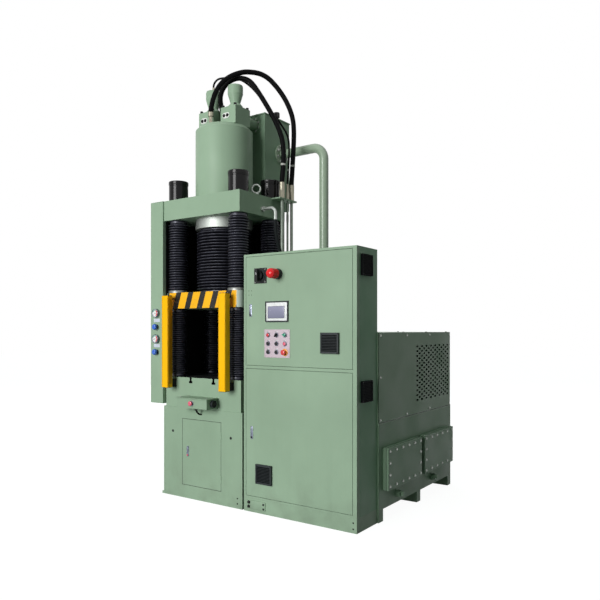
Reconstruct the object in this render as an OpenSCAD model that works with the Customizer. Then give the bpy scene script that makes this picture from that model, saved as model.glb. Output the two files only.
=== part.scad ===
// Four-column hydraulic press with its control cabinet and hydraulic power unit.
// Millimetres, +Z up, +Y to the rear, origin on the floor under the press axis.

/* [Base] */
// Width of the welded base
base_w = 880; // [820:10:940]
// Depth of the welded base
base_d = 570; // [560:10:640]
// Height of the base under the bed
base_h = 758; // [700:2:820]
// Thickness of the base walls
base_wall = 16; // [10:1:22]
// Thickness of the floor plate
floor_plate_t = 20; // [12:1:30]
// Lip of the floor plate past the left wall
floor_lip = 20; // [5:1:40]
// Width of the base door
base_door_w = 430; // [360:5:480]
// Wall left above the base door
base_door_head = 95; // [60:1:140]
// Height of the base door's lower edge above the floor
base_door_z = 112; // [80:2:140]

/* [Bed] */
// Width of the bed block
bed_w = 840; // [800:5:850]
// Depth of the bed block
bed_d = 556; // [550:2:600]
// Height of the bed block
bed_h = 255; // [200:5:300]
// Distance between the two T-slots
slot_pitch = 256; // [200:4:320]
// Width of a T-slot's neck
slot_neck_w = 22; // [14:1:30]
// Width of a T-slot's foot
slot_foot_w = 40; // [34:1:54]
// Height of a T-slot's foot
slot_foot_h = 18; // [12:1:26]
// Depth of a T-slot from the bed's top
slot_deep = 48; // [36:1:60]

/* [Columns] */
// Diameter of the four columns
col_d = 104; // [90:1:110]
// Distance from a column's axis to the crown's edges
col_edge = 88; // [86:0.5:94]
// Diameter of the column nuts
nut_d = 164; // [150:1:172]
// Height of the nuts on the crown
nut_h = 168; // [120:2:200]
// Depth of the groove round a nut
nut_groove = 5; // [2:0.5:8]
// Height of the cap ring above a nut's groove
nut_ring_h = 38; // [24:1:48]

/* [Crown] */
// Width of the crown
crown_w = 850; // [830:5:870]
// Depth of the crown
crown_d = 600; // [590:5:640]
// Height of the crown
crown_h = 170; // [140:5:220]

/* [Slide] */
// Open height between bed and slide at rest
daylight = 580; // [500:10:680]
// Height of the slide
slide_h = 135; // [110:5:170]
// Corner radius of the slide about each column
slide_r = 80; // [70:1:81]
// Radius of the slide's corners
slide_corner = 48; // [30:1:60]
// Gap between slide and column
slide_clear = 0.5; // [0.3:0.1:1]
// Height between slide and crown at rest
upper_gap = 622; // [560:2:700]
// Diameter of the ram
ram_d = 300; // [240:5:320]
// Length of ram inside the crown and cylinder at rest
ram_in = 350; // [330:5:420]
// Gap between ram and cylinder bore
ram_clear = 0.5; // [0.3:0.1:1]

/* [Main cylinder] */
// Outside diameter of the main cylinder
cyl_d = 490; // [440:5:500]
// Height of the cylinder above the crown
cyl_h = 622; // [600:1:720]
// Height and width of the chamfer round the cylinder's top
cyl_chamfer = 34; // [10:1:50]
// Diameter of the cylinder's neck in the crown
neck_d = 400; // [370:5:420]
// Diameter of the cylinder nut under the crown
cyl_nut_d = 486; // [450:2:500]
// Height of the cylinder nut
cyl_nut_h = 85; // [60:1:100]
// Thickness of the cylinder's closed end
cyl_end = 170; // [120:5:190]

/* [Bellows] */
// Outside diameter of the upper column bellows
upper_bellows_d = 168; // [150:1:170]
// Outside diameter of the lower column bellows
lower_bellows_d = 154; // [144:1:164]
// Outside diameter of the ram bellows
ram_bellows_d = 468; // [420:2:480]
// Depth of a pleat on the column bellows
pleat_deep = 17; // [8:1:18]
// Depth of a pleat on the ram bellows
ram_pleat_deep = 30; // [16:1:36]
// Pleats on each upper column bellows
upper_pleats = 27; // [18:1:30]
// Pleats on each lower column bellows
lower_pleats = 31; // [20:1:34]
// Pleats on the ram bellows
ram_pleats = 23; // [16:1:26]
// Gap between a column and its bellows
bellows_gap = 4; // [3:0.5:5]

/* [Valves on the cylinder] */
// Distance between the two valve blocks' centres
block_pitch = 250; // [240:2:280]
// Width of a valve block
block_w = 165; // [150:1:180]
// Depth of a valve block
block_d = 190; // [170:2:210]
// Height of a valve block
block_h = 149; // [110:1:160]
// Height of a valve cap
cap_h = 197; // [170:1:230]
// Diameter of a valve cap's cup
cap_d = 130; // [110:1:140]
// Diameter of a valve cap's neck
cap_neck_d = 84; // [60:1:96]
// Diameter of a valve cap's foot
cap_foot_d = 124; // [110:1:126]

/* [Prefill tank] */
// Width of the prefill tank
tank_w = 478; // [440:2:520]
// Depth of the prefill tank
tank_d = 364; // [330:2:400]
// Height of the prefill tank
tank_h = 797; // [740:1:850]
// Gap between cylinder and tank
tank_gap = 18; // [8:1:30]
// Thickness of the tank's walls
tank_wall = 6; // [4:0.5:10]
// Thickness of the tank's lid
lid_t = 10; // [6:0.5:14]
// Reach of the lid past the tank's walls
lid_lip = 6; // [2:0.5:12]
// Outside diameter of the pipes from valve blocks to tank
prefill_pipe_d = 92; // [70:1:110]
// Diameter of those pipes' flanges
prefill_flange_d = 130; // [118:1:134]
// Thickness of pipe flanges
flange_t = 16; // [10:1:24]
// Thickness of the shelf and gussets behind the crown
shelf_t = 16; // [10:1:24]
// Height of the gussets under the shelf
gusset_h = 90; // [60:2:100]

/* [Pipes] */
// Outside diameter of the return pipe
return_d = 80; // [60:1:90]
// Bend radius of the return pipe
return_bend = 110; // [95:1:140]
// Position of the falling return pipe to the right of the press axis
return_x = 700; // [640:5:800]
// Height of the return pipe above the crown
return_up = 480; // [400:5:560]
// Distance of the return pipe behind the tank's front
return_back = 237; // [160:1:250]
// Diameter of the return pipe's flange
return_flange_d = 176; // [140:2:190]
// Distance of the pressure pipes from the crown's side
pipe_out = 58; // [44:1:70]
// Diameter of the front pressure pipe
pipe_a_d = 28; // [22:1:34]
// Diameter of the middle pilot pipe
pipe_b_d = 18; // [12:1:22]
// Diameter of the rear pressure pipe
pipe_c_d = 25; // [20:1:34]
// Distance of the front pipe behind the press axis
pipe_a_y = 183; // [175:1:195]
// Distance of the pilot pipe behind the press axis
pipe_b_y = 262; // [252:1:268]
// Distance of the rear pipe behind the press axis
pipe_c_y = 321; // [312:1:330]
// Reach of the pipe bracket from the crown
bracket_w = 90; // [84:1:110]
// Thickness of the pipe bracket
bracket_t = 12; // [8:1:16]
// Bracket end in front of the first pipe
bracket_end = 72; // [50:1:90]
// Bracket end behind the last pipe
bracket_tail = 34; // [26:1:50]
// Height of the hose nuts
hose_nut_h = 68; // [50:1:80]
// Height of the hose ferrules
ferrule_h = 68; // [50:1:80]
// Width of a large hose nut across its corners
hose_nut_d = 50; // [48:1:52]
// Width of a pilot hose nut across its corners
pilot_nut_d = 30; // [26:1:36]
// Height of the brass fitting on the left valve cap
brass_h = 20; // [14:1:30]
// Height of the hose nuts on the cylinder
port_nut_h = 28; // [20:1:40]
// Height of the ferrules on the cylinder
port_ferrule_h = 34; // [24:1:50]
// Outside diameter of the two large hoses
hose_d = 42; // [32:1:44]
// Outside diameter of the pilot hose
pilot_d = 17; // [12:1:18]
// Outside diameter of the drain hose
drain_hose_d = 30; // [24:1:34]
// Diameter of the large ferrules
ferrule_d = 46; // [45:1:48]
// Diameter of the pilot ferrules
pilot_ferrule_d = 20; // [19:1:26]
// Distance of the front port to the left of the press axis
port_left = 19; // [0:1:30]
// Distance of the front port before the press axis
port_ahead = 150; // [140:1:165]
// Width of the front port's stub over its corners
port_stub_d = 32; // [26:1:40]
// Height of the front port's stub
port_stub_h = 74; // [60:1:100]
// Crest of the long pressure hose above the valve caps
crest_a_up = 124; // [110:2:180]
// Crest of the short pressure hose above the valve caps
crest_b_up = 84; // [60:2:100]
// Crest of the pilot hose above the valve caps
crest_c_up = 118; // [100:2:130]
// Landing of the drain hose behind the press axis
drain_land_y = 150; // [130:1:155]
// Height of the drain elbow above the crown's underside
drain_up = 57; // [40:1:100]
// Diameter of the drain elbow's tube
drain_d = 26; // [18:1:28]
// Straight reach of the drain elbow before its bend
drain_reach = 65; // [40:1:80]
// Bend radius of the drain elbow
drain_bend = 50; // [44:1:60]
// Drop of the drain elbow below its bend
drain_drop = 50; // [30:1:70]
// Width of the drain elbow's nut across its corners
drain_nut_d = 44; // [36:1:50]
// Thickness of the drain elbow's nut
drain_nut_t = 20; // [14:1:26]
// Distance of the drain elbow in front of the press axis
drain_ahead = 13; // [0:1:30]
// Clearance of the drain above or behind the cabinet
drain_clear = 20; // [10:1:40]

/* [Lifting eyes] */
// Outside diameter of a lifting eye
eye_d = 83; // [70:1:96]
// Thickness of a lifting eye's ring
eye_t = 15; // [10:1:20]
// Height of a lifting eye's collar
eye_collar_h = 18; // [12:1:24]
// Diameter of a lifting eye's collar
eye_collar_d = 44; // [34:1:52]
// Distance of a lifting eye from the crown's end
eye_in = 40; // [34:1:50]
// Distance of the lifting eyes in front of the press axis
eye_front = 43; // [0:1:50]
// Turn of the lifting eyes about the vertical
eye_turn = 35; // [0:5:60]

/* [Guards] */
// Width of the left guard box
guard_w = 150; // [120:2:180]
// Reach of the guard box in front of the crown
guard_front = 12; // [5:1:20]
// Depth of the guard box
guard_d = 616; // [560:2:640]
// Height of the guard box above the base
guard_up = 22; // [10:1:40]
// Sheet thickness of guards and covers
sheet_t = 4; // [3:0.5:6]
// Width of the guard box's inner flange
guard_flange = 30; // [20:1:50]
// Lap of the rear guard on the crown
rear_lap = 40; // [20:1:60]
// Drop of the rear guard below the bed's top
rear_drop = 110; // [90:2:140]
// Height of the rear guard's foot flange
rear_foot_h = 40; // [20:1:40]
// Diameter of the pressure gauges
gauge_d = 76; // [60:1:100]
// Depth of a gauge's case
gauge_t = 26; // [16:1:40]
// Height of the upper gauge above the bed
gauge_up = 544; // [480:2:600]
// Distance between the two gauges
gauge_pitch = 222; // [180:2:260]
// Width of a light-curtain post
post_w = 71; // [50:1:80]
// Depth of a light-curtain post
post_d = 53; // [46:1:80]
// Height of a light-curtain post
post_h = 770; // [700:5:860]
// Drop of the posts below the bed's top
post_drop = 83; // [70:1:110]
// Distance between the two posts' centres
post_pitch = 638; // [620:2:680]
// Reach of the posts' brackets in front of the bed
post_reach = 59; // [30:1:70]
// Width of a post's bracket
post_arm_w = 50; // [30:1:60]
// Height of a post's bracket
post_arm_h = 66; // [40:1:68]

/* [Console] */
// Width of the console on the bed
console_w = 330; // [280:2:380]
// Depth of the console
console_d = 132; // [100:2:140]
// Height of the console
console_h = 83; // [60:1:100]
// Height of the console above the base
console_up = 19; // [10:1:40]
// Sideways shift of the console's centre
console_x = 12; // [0:1:20]
// Thickness of the console's lid
console_lid_t = 6; // [4:0.5:10]
// Reach of the console's lid past its walls
console_lip = 10; // [4:1:16]
// Diameter of the console's stop button
stop_d = 46; // [36:1:52]
// Diameter of the console's palm buttons
palm_d = 50; // [40:1:58]
// Reach of the console's buttons
button_out = 28; // [20:1:40]
// Diameter of the console's cable
cable_d = 14; // [10:1:18]
// Bend radius of the console's cable
cable_bend = 62; // [50:1:76]

/* [Control cabinet] */
// Gap between base and cabinet
cab_gap = 17; // [8:1:30]
// Width of the cabinet
cab_w = 1012; // [960:4:1100]
// Depth of the cabinet
cab_d = 302; // [260:2:360]
// Height of the cabinet
cab_h = 2000; // [1900:10:2100]
// Height of the plinth
plinth_h = 104; // [80:2:140]
// Rim left of the doors
rim_l = 20; // [14:1:30]
// Rim right of the doors
rim_r = 33; // [24:1:40]
// Rim above the upper door
rim_t = 18; // [12:1:30]
// Rim under the lower door
rim_b = 18; // [12:1:30]
// Height of the rail between the doors
rail_h = 22; // [18:1:40]
// Height of the lower door
low_door_h = 986; // [940:2:1040]
// Gap round each door
door_gap = 3; // [2:0.5:5]
// Thickness of the cabinet doors
door_t = 25; // [18:1:30]
// Sheet thickness of the doors
door_sheet = 3; // [2:0.5:4]
// Width of the fold round a door's back
door_fold = 18; // [12:1:24]
// Width of the stop behind the doors
stop_w = 12; // [8:1:16]
// Thickness of the stop behind the doors
stop_t = 14; // [8:1:20]
// Thickness of the mounting plate in the cabinet
plate_t = 4; // [3:0.5:6]
// Gap between mounting plate and cabinet back
plate_off = 22; // [14:1:30]
// Margin round the mounting plate
plate_margin = 60; // [40:2:100]
// Width of a fan filter
filter_w = 150; // [120:1:180]
// Reach of a fan filter
filter_t = 14; // [8:1:24]
// Distance of the isolator from the upper door's left edge
isolator_in = 143; // [110:1:180]
// Distance of the isolator below the upper door's top
isolator_down = 150; // [120:1:180]
// Distance of the touch panel from the upper door's left edge
hmi_in = 301; // [260:1:340]
// Distance of the touch panel below the upper door's top
hmi_down = 428; // [400:1:440]
// Distance of the button plate below the upper door's top
buttons_down = 669; // [650:1:690]
// Distance of the beacon from the upper door's left edge
beacon_in = 310; // [280:1:340]
// Distance of the beacon below the upper door's top
beacon_down = 145; // [120:1:160]
// Distance of the door filters from the doors' nearest corner
filter_in = 180; // [150:1:220]
// Distance of the side filters behind the cabinet's front
side_filter_in = 128; // [120:1:160]
// Distance of the lower side filter above the plinth
side_filter_up = 874; // [800:2:940]
// Width of the isolator's plate
isolator_w = 118; // [90:1:140]
// Thickness of the isolator's plate
isolator_t = 6; // [4:0.5:10]
// Diameter of the isolator's hub
isolator_hub_d = 64; // [50:1:80]
// Height of the isolator's hub
isolator_hub_t = 22; // [14:1:30]
// Length of the isolator's grip
grip_l = 92; // [80:1:100]
// Width of the isolator's grip
grip_w = 22; // [16:1:28]
// Height of the isolator's grip
grip_t = 30; // [20:1:40]
// Width of the touch panel
hmi_w = 214; // [180:1:260]
// Height of the touch panel
hmi_h = 158; // [130:1:200]
// Thickness of the touch panel's bezel
hmi_t = 7; // [4:0.5:12]
// Width of the button plate
buttons_w = 238; // [200:1:260]
// Height of the button plate
buttons_h = 213; // [180:1:240]
// Thickness of the button plate
buttons_t = 3; // [2:0.5:6]
// Diameter of the warning beacon
beacon_d = 78; // [60:1:96]
// Reach of the warning beacon
beacon_out = 120; // [90:1:140]
// Height of the beacon's base
beacon_base = 36; // [24:1:50]

/* [Power unit] */
// How far the power unit reaches past the cabinet on the right
unit_over = 12; // [0:1:60]
// Depth of the power unit
unit_d = 1414; // [1300:2:1500]
// Height of the oil tank's body
oil_h = 639; // [580:1:700]
// Height of the cover over the pumps
hood_h = 665; // [600:1:720]
// How far the cover's back stands in from the tank's
hood_in = 10; // [0:1:30]
// Height of the feet
feet_h = 89; // [60:1:120]
// Width of a foot beam
foot_w = 70; // [50:1:100]
// Thickness of the oil tank's walls
oil_wall = 8; // [5:0.5:12]
// Thickness of the oil tank's deck
deck_t = 12; // [8:0.5:16]
// Width of the front cleaning cover
cover_a_w = 602; // [560:2:620]
// Width of the rear cleaning cover
cover_b_w = 626; // [560:2:640]
// Height of the cleaning covers
cover_h = 312; // [260:2:360]
// Thickness of the cleaning covers
cover_t = 45; // [20:1:50]
// Height of the drain plugs above the tank's floor
plug_up = 65; // [40:1:80]
// Place of the first drain plug behind the tank's front
plug_a_in = 311; // [260:1:360]
// Place of the second drain plug before the tank's back
plug_b_in = 439; // [390:1:490]
// Diameter of the drain plugs' bosses
plug_boss_d = 54; // [44:1:60]
// Length of the drain plugs' bosses
plug_boss_l = 34; // [20:1:40]
// Width of the drain plugs over their corners
plug_hex_d = 38; // [30:1:40]
// Length of the drain plugs' heads
plug_hex_l = 22; // [14:1:26]
// Height of the cleaning covers above the tank's floor
cover_up = 139; // [100:1:160]
// Distance of the front cover from the unit's front
cover_a_in = 68; // [50:1:76]
// Distance between the two covers
cover_gap = 63; // [50:1:70]
// Columns of ventilation slots
vent_cols = 15; // [8:1:16]
// Rows of ventilation slots
vent_rows = 12; // [8:1:12]
// Distance between slot columns
vent_pitch_y = 47; // [45:1:50]
// Distance between slot rows
vent_pitch_z = 40; // [36:1:42]
// Length of a ventilation slot
vent_slot_l = 42; // [20:1:44]
// Height of a ventilation slot
vent_slot_h = 16; // [10:1:18]
// Distance of the last slot column from the unit's rear
vent_in = 74; // [50:1:80]
// Height of the lowest slot row above the deck
vent_up = 110; // [90:1:150]

/* [Hidden] */
$fa = 6;
$fs = 1.5;
over = 1;
seam = 0.5;
hair = 0.3;
hex_sides = 6;
hose_sides = 10;

col_x = crown_w / 2 - col_edge;
col_y = crown_d / 2 - col_edge;
base_front = -base_d / 2;
bed_top = base_h + bed_h;
slide_low = bed_top + daylight;
slide_top = slide_low + slide_h;
crown_low = slide_top + upper_gap;
crown_top = crown_low + crown_h;
nut_top = crown_top + nut_h;
cyl_top = crown_top + cyl_h;
block_top = cyl_top + block_h;
cap_top = block_top + cap_h;
collar_low = crown_low - cyl_nut_h;
ram_top = crown_low + ram_in;
tank_front = cyl_d / 2 + tank_gap;
tank_back = tank_front + tank_d;
tank_top = crown_top + tank_h;
bed_front = -bed_d / 2;
guard_right = -crown_w / 2;
guard_left = guard_right - guard_w;
guard_face = -crown_d / 2 - guard_front;
guard_rear = guard_face + guard_d;
guard_low = base_h + guard_up;
guard_mid = (guard_left + guard_right) / 2;
pipe_x = crown_w / 2 + pipe_out;
cab_left = base_w / 2 + cab_gap;
cab_right = cab_left + cab_w;
cab_front = base_front;
cab_back = cab_front + cab_d;
base_door_h = base_h - base_door_z - base_door_head;
door_left = cab_left + rim_l + door_gap;
door_right = cab_right - rim_r - door_gap;
low_door_low = plinth_h + rim_b + door_gap;
low_door_top = low_door_low + low_door_h;
up_door_low = low_door_top + door_gap + rail_h + door_gap;
up_door_top = cab_h - rim_t - door_gap;
isolator_x = door_left + isolator_in;
isolator_z = up_door_top - isolator_down;
hmi_x = door_left + hmi_in;
hmi_z = up_door_top - hmi_down;
buttons_z = up_door_top - buttons_down;
beacon_x = door_left + beacon_in;
beacon_z = up_door_top - beacon_down;
up_filter_x = door_right - filter_in;
up_filter_z = up_door_low + filter_in;
low_filter_x = door_left + filter_in;
low_filter_z = low_door_low + filter_in;
side_filter_y = cab_front + side_filter_in;
side_filter_low = plinth_h + side_filter_up;
side_filter_top = cab_h - side_filter_in;
unit_left = cab_left;
unit_right = unit_left + cab_w + unit_over;
unit_front = cab_back;
unit_back = unit_front + unit_d;
oil_top = feet_h + oil_h;
unit_top = oil_top + hood_h;
hood_back = unit_back - hood_in;
return_y = tank_front + return_back;
return_z = crown_top + return_up;
drain_z = crown_low + drain_up;
drain_x = crown_w / 2 + drain_nut_t + drain_reach;
hose_low = crown_top + hose_nut_h + ferrule_h;
port_a = [-port_left, -port_ahead, cyl_top];
port_b = [0, 0, cyl_top];
port_c = [-block_pitch / 2, 0, cap_top];
post_front = bed_front - post_reach - post_d;
post_back = bed_front - post_reach;
console_front = bed_front - console_d;
console_low = base_h + console_up;
console_top = console_low + console_h;
drain_end_x = drain_x + drain_bend;
drain_end_z = drain_z - drain_bend - drain_drop;
drain_behind = cab_back + drain_nut_d / 2 + drain_clear;
drain_y = cab_h + drain_clear > drain_end_z ? drain_behind : -drain_ahead;

// Hose routes: share of the way to the far port, then share of the climb to the crest
hose_a_rise_shares = [
    [0, 0], [-0.007, 0.1], [-0.015, 0.205], [-0.023, 0.31], [-0.029, 0.41], [-0.029, 0.505],
    [-0.019, 0.585], [0.006, 0.656], [0.044, 0.723], [0.092, 0.787], [0.148, 0.845], [0.212, 0.9],
    [0.285, 0.95], [0.36, 0.981], [0.435, 0.996], [0.51, 1]];
hose_a_fall_shares = [
    [0.59, 0.992], [0.67, 0.95], [0.745, 0.885], [0.815, 0.795], [0.878, 0.675], [0.928, 0.525],
    [0.965, 0.35], [0.989, 0.165], [1, 0]];
hose_b_rise_shares = [
    [0, 0], [-0.011, 0.08], [-0.022, 0.16], [-0.028, 0.24], [-0.022, 0.318], [-0.003, 0.39], [0.034, 0.463],
    [0.09, 0.54], [0.165, 0.625], [0.255, 0.715], [0.345, 0.799], [0.43, 0.874], [0.495, 0.926],
    [0.565, 0.966], [0.654, 0.991], [0.752, 1]];
hose_b_fall_shares = [
    [0.85, 0.978], [0.939, 0.915], [1.009, 0.816], [1.054, 0.692], [1.07, 0.554], [1.058, 0.41],
    [1.037, 0.26], [1.012, 0.11], [1, 0]];
hose_c_rise_shares = [
    [0, 0], [-0.008, 0.1], [-0.016, 0.2], [-0.021, 0.307], [-0.011, 0.406], [0.015, 0.461],
    [0.061, 0.514], [0.117, 0.574], [0.164, 0.621], [0.217, 0.666], [0.277, 0.719], [0.35, 0.785],
    [0.43, 0.857], [0.524, 0.923], [0.618, 0.968], [0.699, 0.988], [0.788, 0.997], [0.892, 1]];
hose_c_fall_shares = [[0.933, 0.933], [0.967, 0.741], [0.991, 0.452], [1, 0.141], [1, 0]];
drain_shares = [
    [0, 0], [0.02, 0.07], [0.08, 0.14], [0.2, 0.21], [0.36, 0.28], [0.54, 0.35], [0.71, 0.42],
    [0.85, 0.5], [0.94, 0.58], [0.985, 0.68], [1, 0.8], [1, 0.9], [1, 1]];

// Sub-part that is drawn, or all of them

green = [0.55, 0.66, 0.56];
dark = [0.10, 0.10, 0.11];
steel = [0.70, 0.71, 0.70];
yellow = [0.98, 0.72, 0.10];
red = [0.80, 0.08, 0.08];
slate = [0.25, 0.27, 0.29];

// Block between two opposite corners
module block(lo, hi) {
    translate(lo) cube(hi - lo);
}

// Upright round bar
module bar(x, y, low, top, d) {
    translate([x, y, low]) cylinder(d = d, h = top - low);
}

// Copies the children to the four column axes
module at_columns() {
    for (sx = [-1, 1], sy = [-1, 1]) translate([sx * col_x, sy * col_y, 0]) children();
}

module base_floor() {
    color(green) block(
        [-base_w / 2 - floor_lip, base_front, 0], [base_w / 2, base_d / 2, floor_plate_t]);
}

module base_walls() {
    color(green) {
        for (s = [-1, 1]) translate([s * (base_w - base_wall) / 2, 0, floor_plate_t])
            block([-base_wall / 2, base_front, 0], [base_wall / 2, base_d / 2, base_h - floor_plate_t]);
        block(
            [-base_w / 2 + base_wall + seam, base_d / 2 - base_wall, floor_plate_t],
            [base_w / 2 - base_wall - seam, base_d / 2, base_h]);
    }
}

module base_front_wall() {
    in_w = base_w / 2 - base_wall - seam;
    hole_w = base_door_w / 2 + door_gap;
    hole_low = base_door_z - door_gap;
    hole_top = base_door_z + base_door_h + door_gap;
    color(green) difference() {
        union() {
            block([-in_w, base_front, floor_plate_t], [in_w, base_front + base_wall, base_h]);
            block(
                [-hole_w - stop_w, base_front + base_wall, hole_low - stop_w],
                [hole_w + stop_w, base_front + base_wall + stop_t, hole_top + stop_w]);
        }
        block(
            [-hole_w, base_front - over, hole_low],
            [hole_w, base_front + base_wall, hole_top]);
        block(
            [-hole_w + stop_w, base_front - over, hole_low + stop_w],
            [hole_w - stop_w, base_front + base_wall + stop_t + over, hole_top - stop_w]);
    }
}

module base_door() {
    color(green) difference() {
        block(
            [-base_door_w / 2, base_front, base_door_z],
            [base_door_w / 2, base_front + base_wall, base_door_z + base_door_h]);
        block(
            [-base_door_w / 2 + door_fold, base_front + door_sheet, base_door_z + door_fold],
            [base_door_w / 2 - door_fold, base_front + base_wall + over,
             base_door_z + base_door_h - door_fold]);
    }
}

module bed() {
    color(green) difference() {
        block([-bed_w / 2, bed_front, base_h], [bed_w / 2, bed_d / 2, bed_top]);
        at_columns() bar(0, 0, base_h - over, bed_top + over, col_d);
        for (s = [-1, 1]) translate([s * slot_pitch / 2, 0, 0]) {
            block(
                [-slot_neck_w / 2, bed_front - over, bed_top - slot_deep],
                [slot_neck_w / 2, bed_d / 2 + over, bed_top + over]);
            block(
                [-slot_foot_w / 2, bed_front - over, bed_top - slot_deep],
                [slot_foot_w / 2, bed_d / 2 + over, bed_top - slot_deep + slot_foot_h]);
        }
    }
}

module columns() {
    color(steel) at_columns() bar(0, 0, base_h, nut_top - nut_groove, col_d);
}

module column_nuts() {
    color(dark) at_columns() difference() {
        bar(0, 0, crown_top, nut_top, nut_d);
        bar(0, 0, crown_top - over, nut_top + over, col_d);
        difference() {
            bar(0, 0, nut_top - nut_ring_h - nut_groove, nut_top - nut_ring_h, nut_d + over);
            bar(0, 0, nut_top - nut_h, nut_top, nut_d - nut_groove * 2);
        }
    }
}

module crown() {
    color(green) difference() {
        block([-crown_w / 2, -crown_d / 2, crown_low], [crown_w / 2, crown_d / 2, crown_top]);
        at_columns() bar(0, 0, crown_low - over, crown_top + over, col_d);
        bar(0, 0, crown_low - over, crown_top + over, neck_d);
    }
}

module main_cylinder() {
    r = cyl_d / 2;
    bore = ram_d / 2 + ram_clear;
    color(green) rotate_extrude() polygon([
        [bore, collar_low], [neck_d / 2, collar_low], [neck_d / 2, crown_top], [r, crown_top],
        [r, cyl_top - cyl_chamfer], [r - cyl_chamfer, cyl_top], [0, cyl_top],
        [0, cyl_top - cyl_end], [bore, cyl_top - cyl_end]]);
}

module cylinder_nut() {
    color(steel) difference() {
        bar(0, 0, collar_low, crown_low, cyl_nut_d);
        bar(0, 0, collar_low - over, crown_low + over, neck_d);
    }
}

module valve_blocks() {
    color(green) for (s = [-1, 1]) translate([s * block_pitch / 2, 0, cyl_top])
        block([-block_w / 2, -block_d / 2, 0], [block_w / 2, block_d / 2, block_h]);
}

module valve_caps() {
    foot_share = 0.11;
    neck_share = 0.24;
    cone_share = 0.64;
    rim_share = 0.94;
    color(green) for (s = [-1, 1]) translate([s * block_pitch / 2, 0, block_top])
        rotate_extrude() polygon([
            [0, 0], [cap_foot_d / 2, 0], [cap_foot_d / 2, cap_h * foot_share],
            [cap_neck_d / 2, cap_h * neck_share], [cap_neck_d / 2, cap_h * neck_share + over],
            [cap_d / 2, cap_h * cone_share], [cap_d / 2, cap_h * rim_share],
            [cap_d / 2 * rim_share, cap_h], [0, cap_h]]);
}

module prefill_tank() {
    w = tank_w / 2;
    low = crown_top + tank_wall + seam;
    color(green) {
        block([-w, tank_front, crown_top], [w, tank_back, crown_top + tank_wall]);
        for (s = [-1, 1]) translate([s * (w - tank_wall / 2), 0, 0])
            block([-tank_wall / 2, tank_front, low], [tank_wall / 2, tank_back, tank_top - lid_t]);
        for (y = [tank_front, tank_back - tank_wall])
            block([-w + tank_wall + seam, y, low], [w - tank_wall - seam, y + tank_wall, tank_top - lid_t]);
    }
}

module prefill_lid() {
    color(green) block(
        [-tank_w / 2 - lid_lip, tank_front - lid_lip, tank_top - lid_t],
        [tank_w / 2 + lid_lip, tank_back + lid_lip, tank_top]);
}

module prefill_pipes() {
    z = cyl_top + block_h / 2;
    start = block_d / 2;
    color(green) for (s = [-1, 1]) translate([s * block_pitch / 2, start, z]) rotate([-90, 0, 0]) {
        cylinder(d = prefill_pipe_d, h = tank_front - start);
        cylinder(d = prefill_flange_d, h = flange_t);
        translate([0, 0, tank_front - start - flange_t]) cylinder(d = prefill_flange_d, h = flange_t);
    }
}

module crown_brackets() {
    shelf_w = tank_w / 2;
    gusset_l = tank_back - crown_d / 2 - shelf_t;
    step = shelf_w - shelf_t;
    color(green) {
        block([-shelf_w, crown_d / 2, crown_top - shelf_t], [shelf_w, tank_back, crown_top]);
        for (s = [-1, 0, 1])
            translate([s * step - shelf_t / 2, crown_d / 2, crown_top - shelf_t])
            rotate([90, 0, 90]) linear_extrude(height = shelf_t)
                polygon([[0, 0], [gusset_l, 0], [0, -gusset_h]]);
        block(
            [crown_w / 2, pipe_a_y - bracket_end, crown_top - bracket_t],
            [crown_w / 2 + bracket_w, pipe_c_y + bracket_tail, crown_top]);
    }
}

module return_pipe() {
    start = tank_w / 2;
    color(steel) translate([0, return_y, 0]) {
        translate([start, 0, return_z]) rotate([0, 90, 0]) {
            cylinder(d = return_flange_d, h = flange_t);
            cylinder(d = return_d, h = return_x - return_bend - start);
        }
        translate([return_x - return_bend, 0, return_z - return_bend]) rotate([90, 0, 0])
            rotate_extrude(angle = 90) translate([return_bend, 0]) circle(d = return_d);
        bar(return_x, 0, unit_top, return_z - return_bend, return_d);
        bar(return_x, 0, unit_top, unit_top + flange_t, return_flange_d);
    }
}

module pressure_pipes() {
    color(steel) {
        bar(pipe_x, pipe_a_y, unit_top, crown_top - bracket_t, pipe_a_d);
        bar(pipe_x, pipe_b_y, unit_top, crown_top - bracket_t, pipe_b_d);
        bar(pipe_x, pipe_c_y, unit_top, crown_top - bracket_t, pipe_c_d);
    }
}

// Hexagon nut with a round ferrule on it
module fitting(x, y, low, nut_wide, nut_high, sleeve_d, sleeve_h) {
    translate([x, y, low]) {
        cylinder(d = nut_wide, h = nut_high, $fn = hex_sides);
        translate([0, 0, nut_high]) cylinder(d = sleeve_d, h = sleeve_h);
    }
}

module hose_fittings() {
    color(steel) {
        fitting(pipe_x, pipe_a_y, crown_top, hose_nut_d, hose_nut_h, ferrule_d, ferrule_h);
        fitting(pipe_x, pipe_b_y, crown_top, pilot_nut_d, hose_nut_h, pilot_ferrule_d, ferrule_h);
        fitting(pipe_x, pipe_c_y, crown_top, hose_nut_d, hose_nut_h, ferrule_d, ferrule_h);
        fitting(port_a.x, port_a.y, port_a.z, port_stub_d, port_stub_h, ferrule_d, port_ferrule_h);
        fitting(port_b.x, port_b.y, port_b.z, hose_nut_d, port_nut_h, ferrule_d, port_ferrule_h);
        fitting(port_c.x, port_c.y, port_c.z, pilot_nut_d, brass_h, pilot_ferrule_d, brass_h);
        fitting(drain_end_x, drain_land_y, unit_top, drain_nut_d, port_nut_h, drain_hose_d, port_nut_h);
    }
}

module drain_elbow() {
    color(steel) translate([0, drain_y, 0]) {
        translate([crown_w / 2, 0, drain_z]) rotate([0, 90, 0]) {
            cylinder(d = drain_nut_d, h = drain_nut_t, $fn = hex_sides);
            translate([0, 0, drain_nut_t]) cylinder(d = drain_d, h = drain_reach);
        }
        translate([drain_x, 0, drain_z - drain_bend]) rotate([90, 0, 0])
            rotate_extrude(angle = 90) translate([drain_bend, 0]) circle(d = drain_d);
        bar(drain_end_x, 0, drain_end_z, drain_z - drain_bend, drain_d);
    }
}

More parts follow.
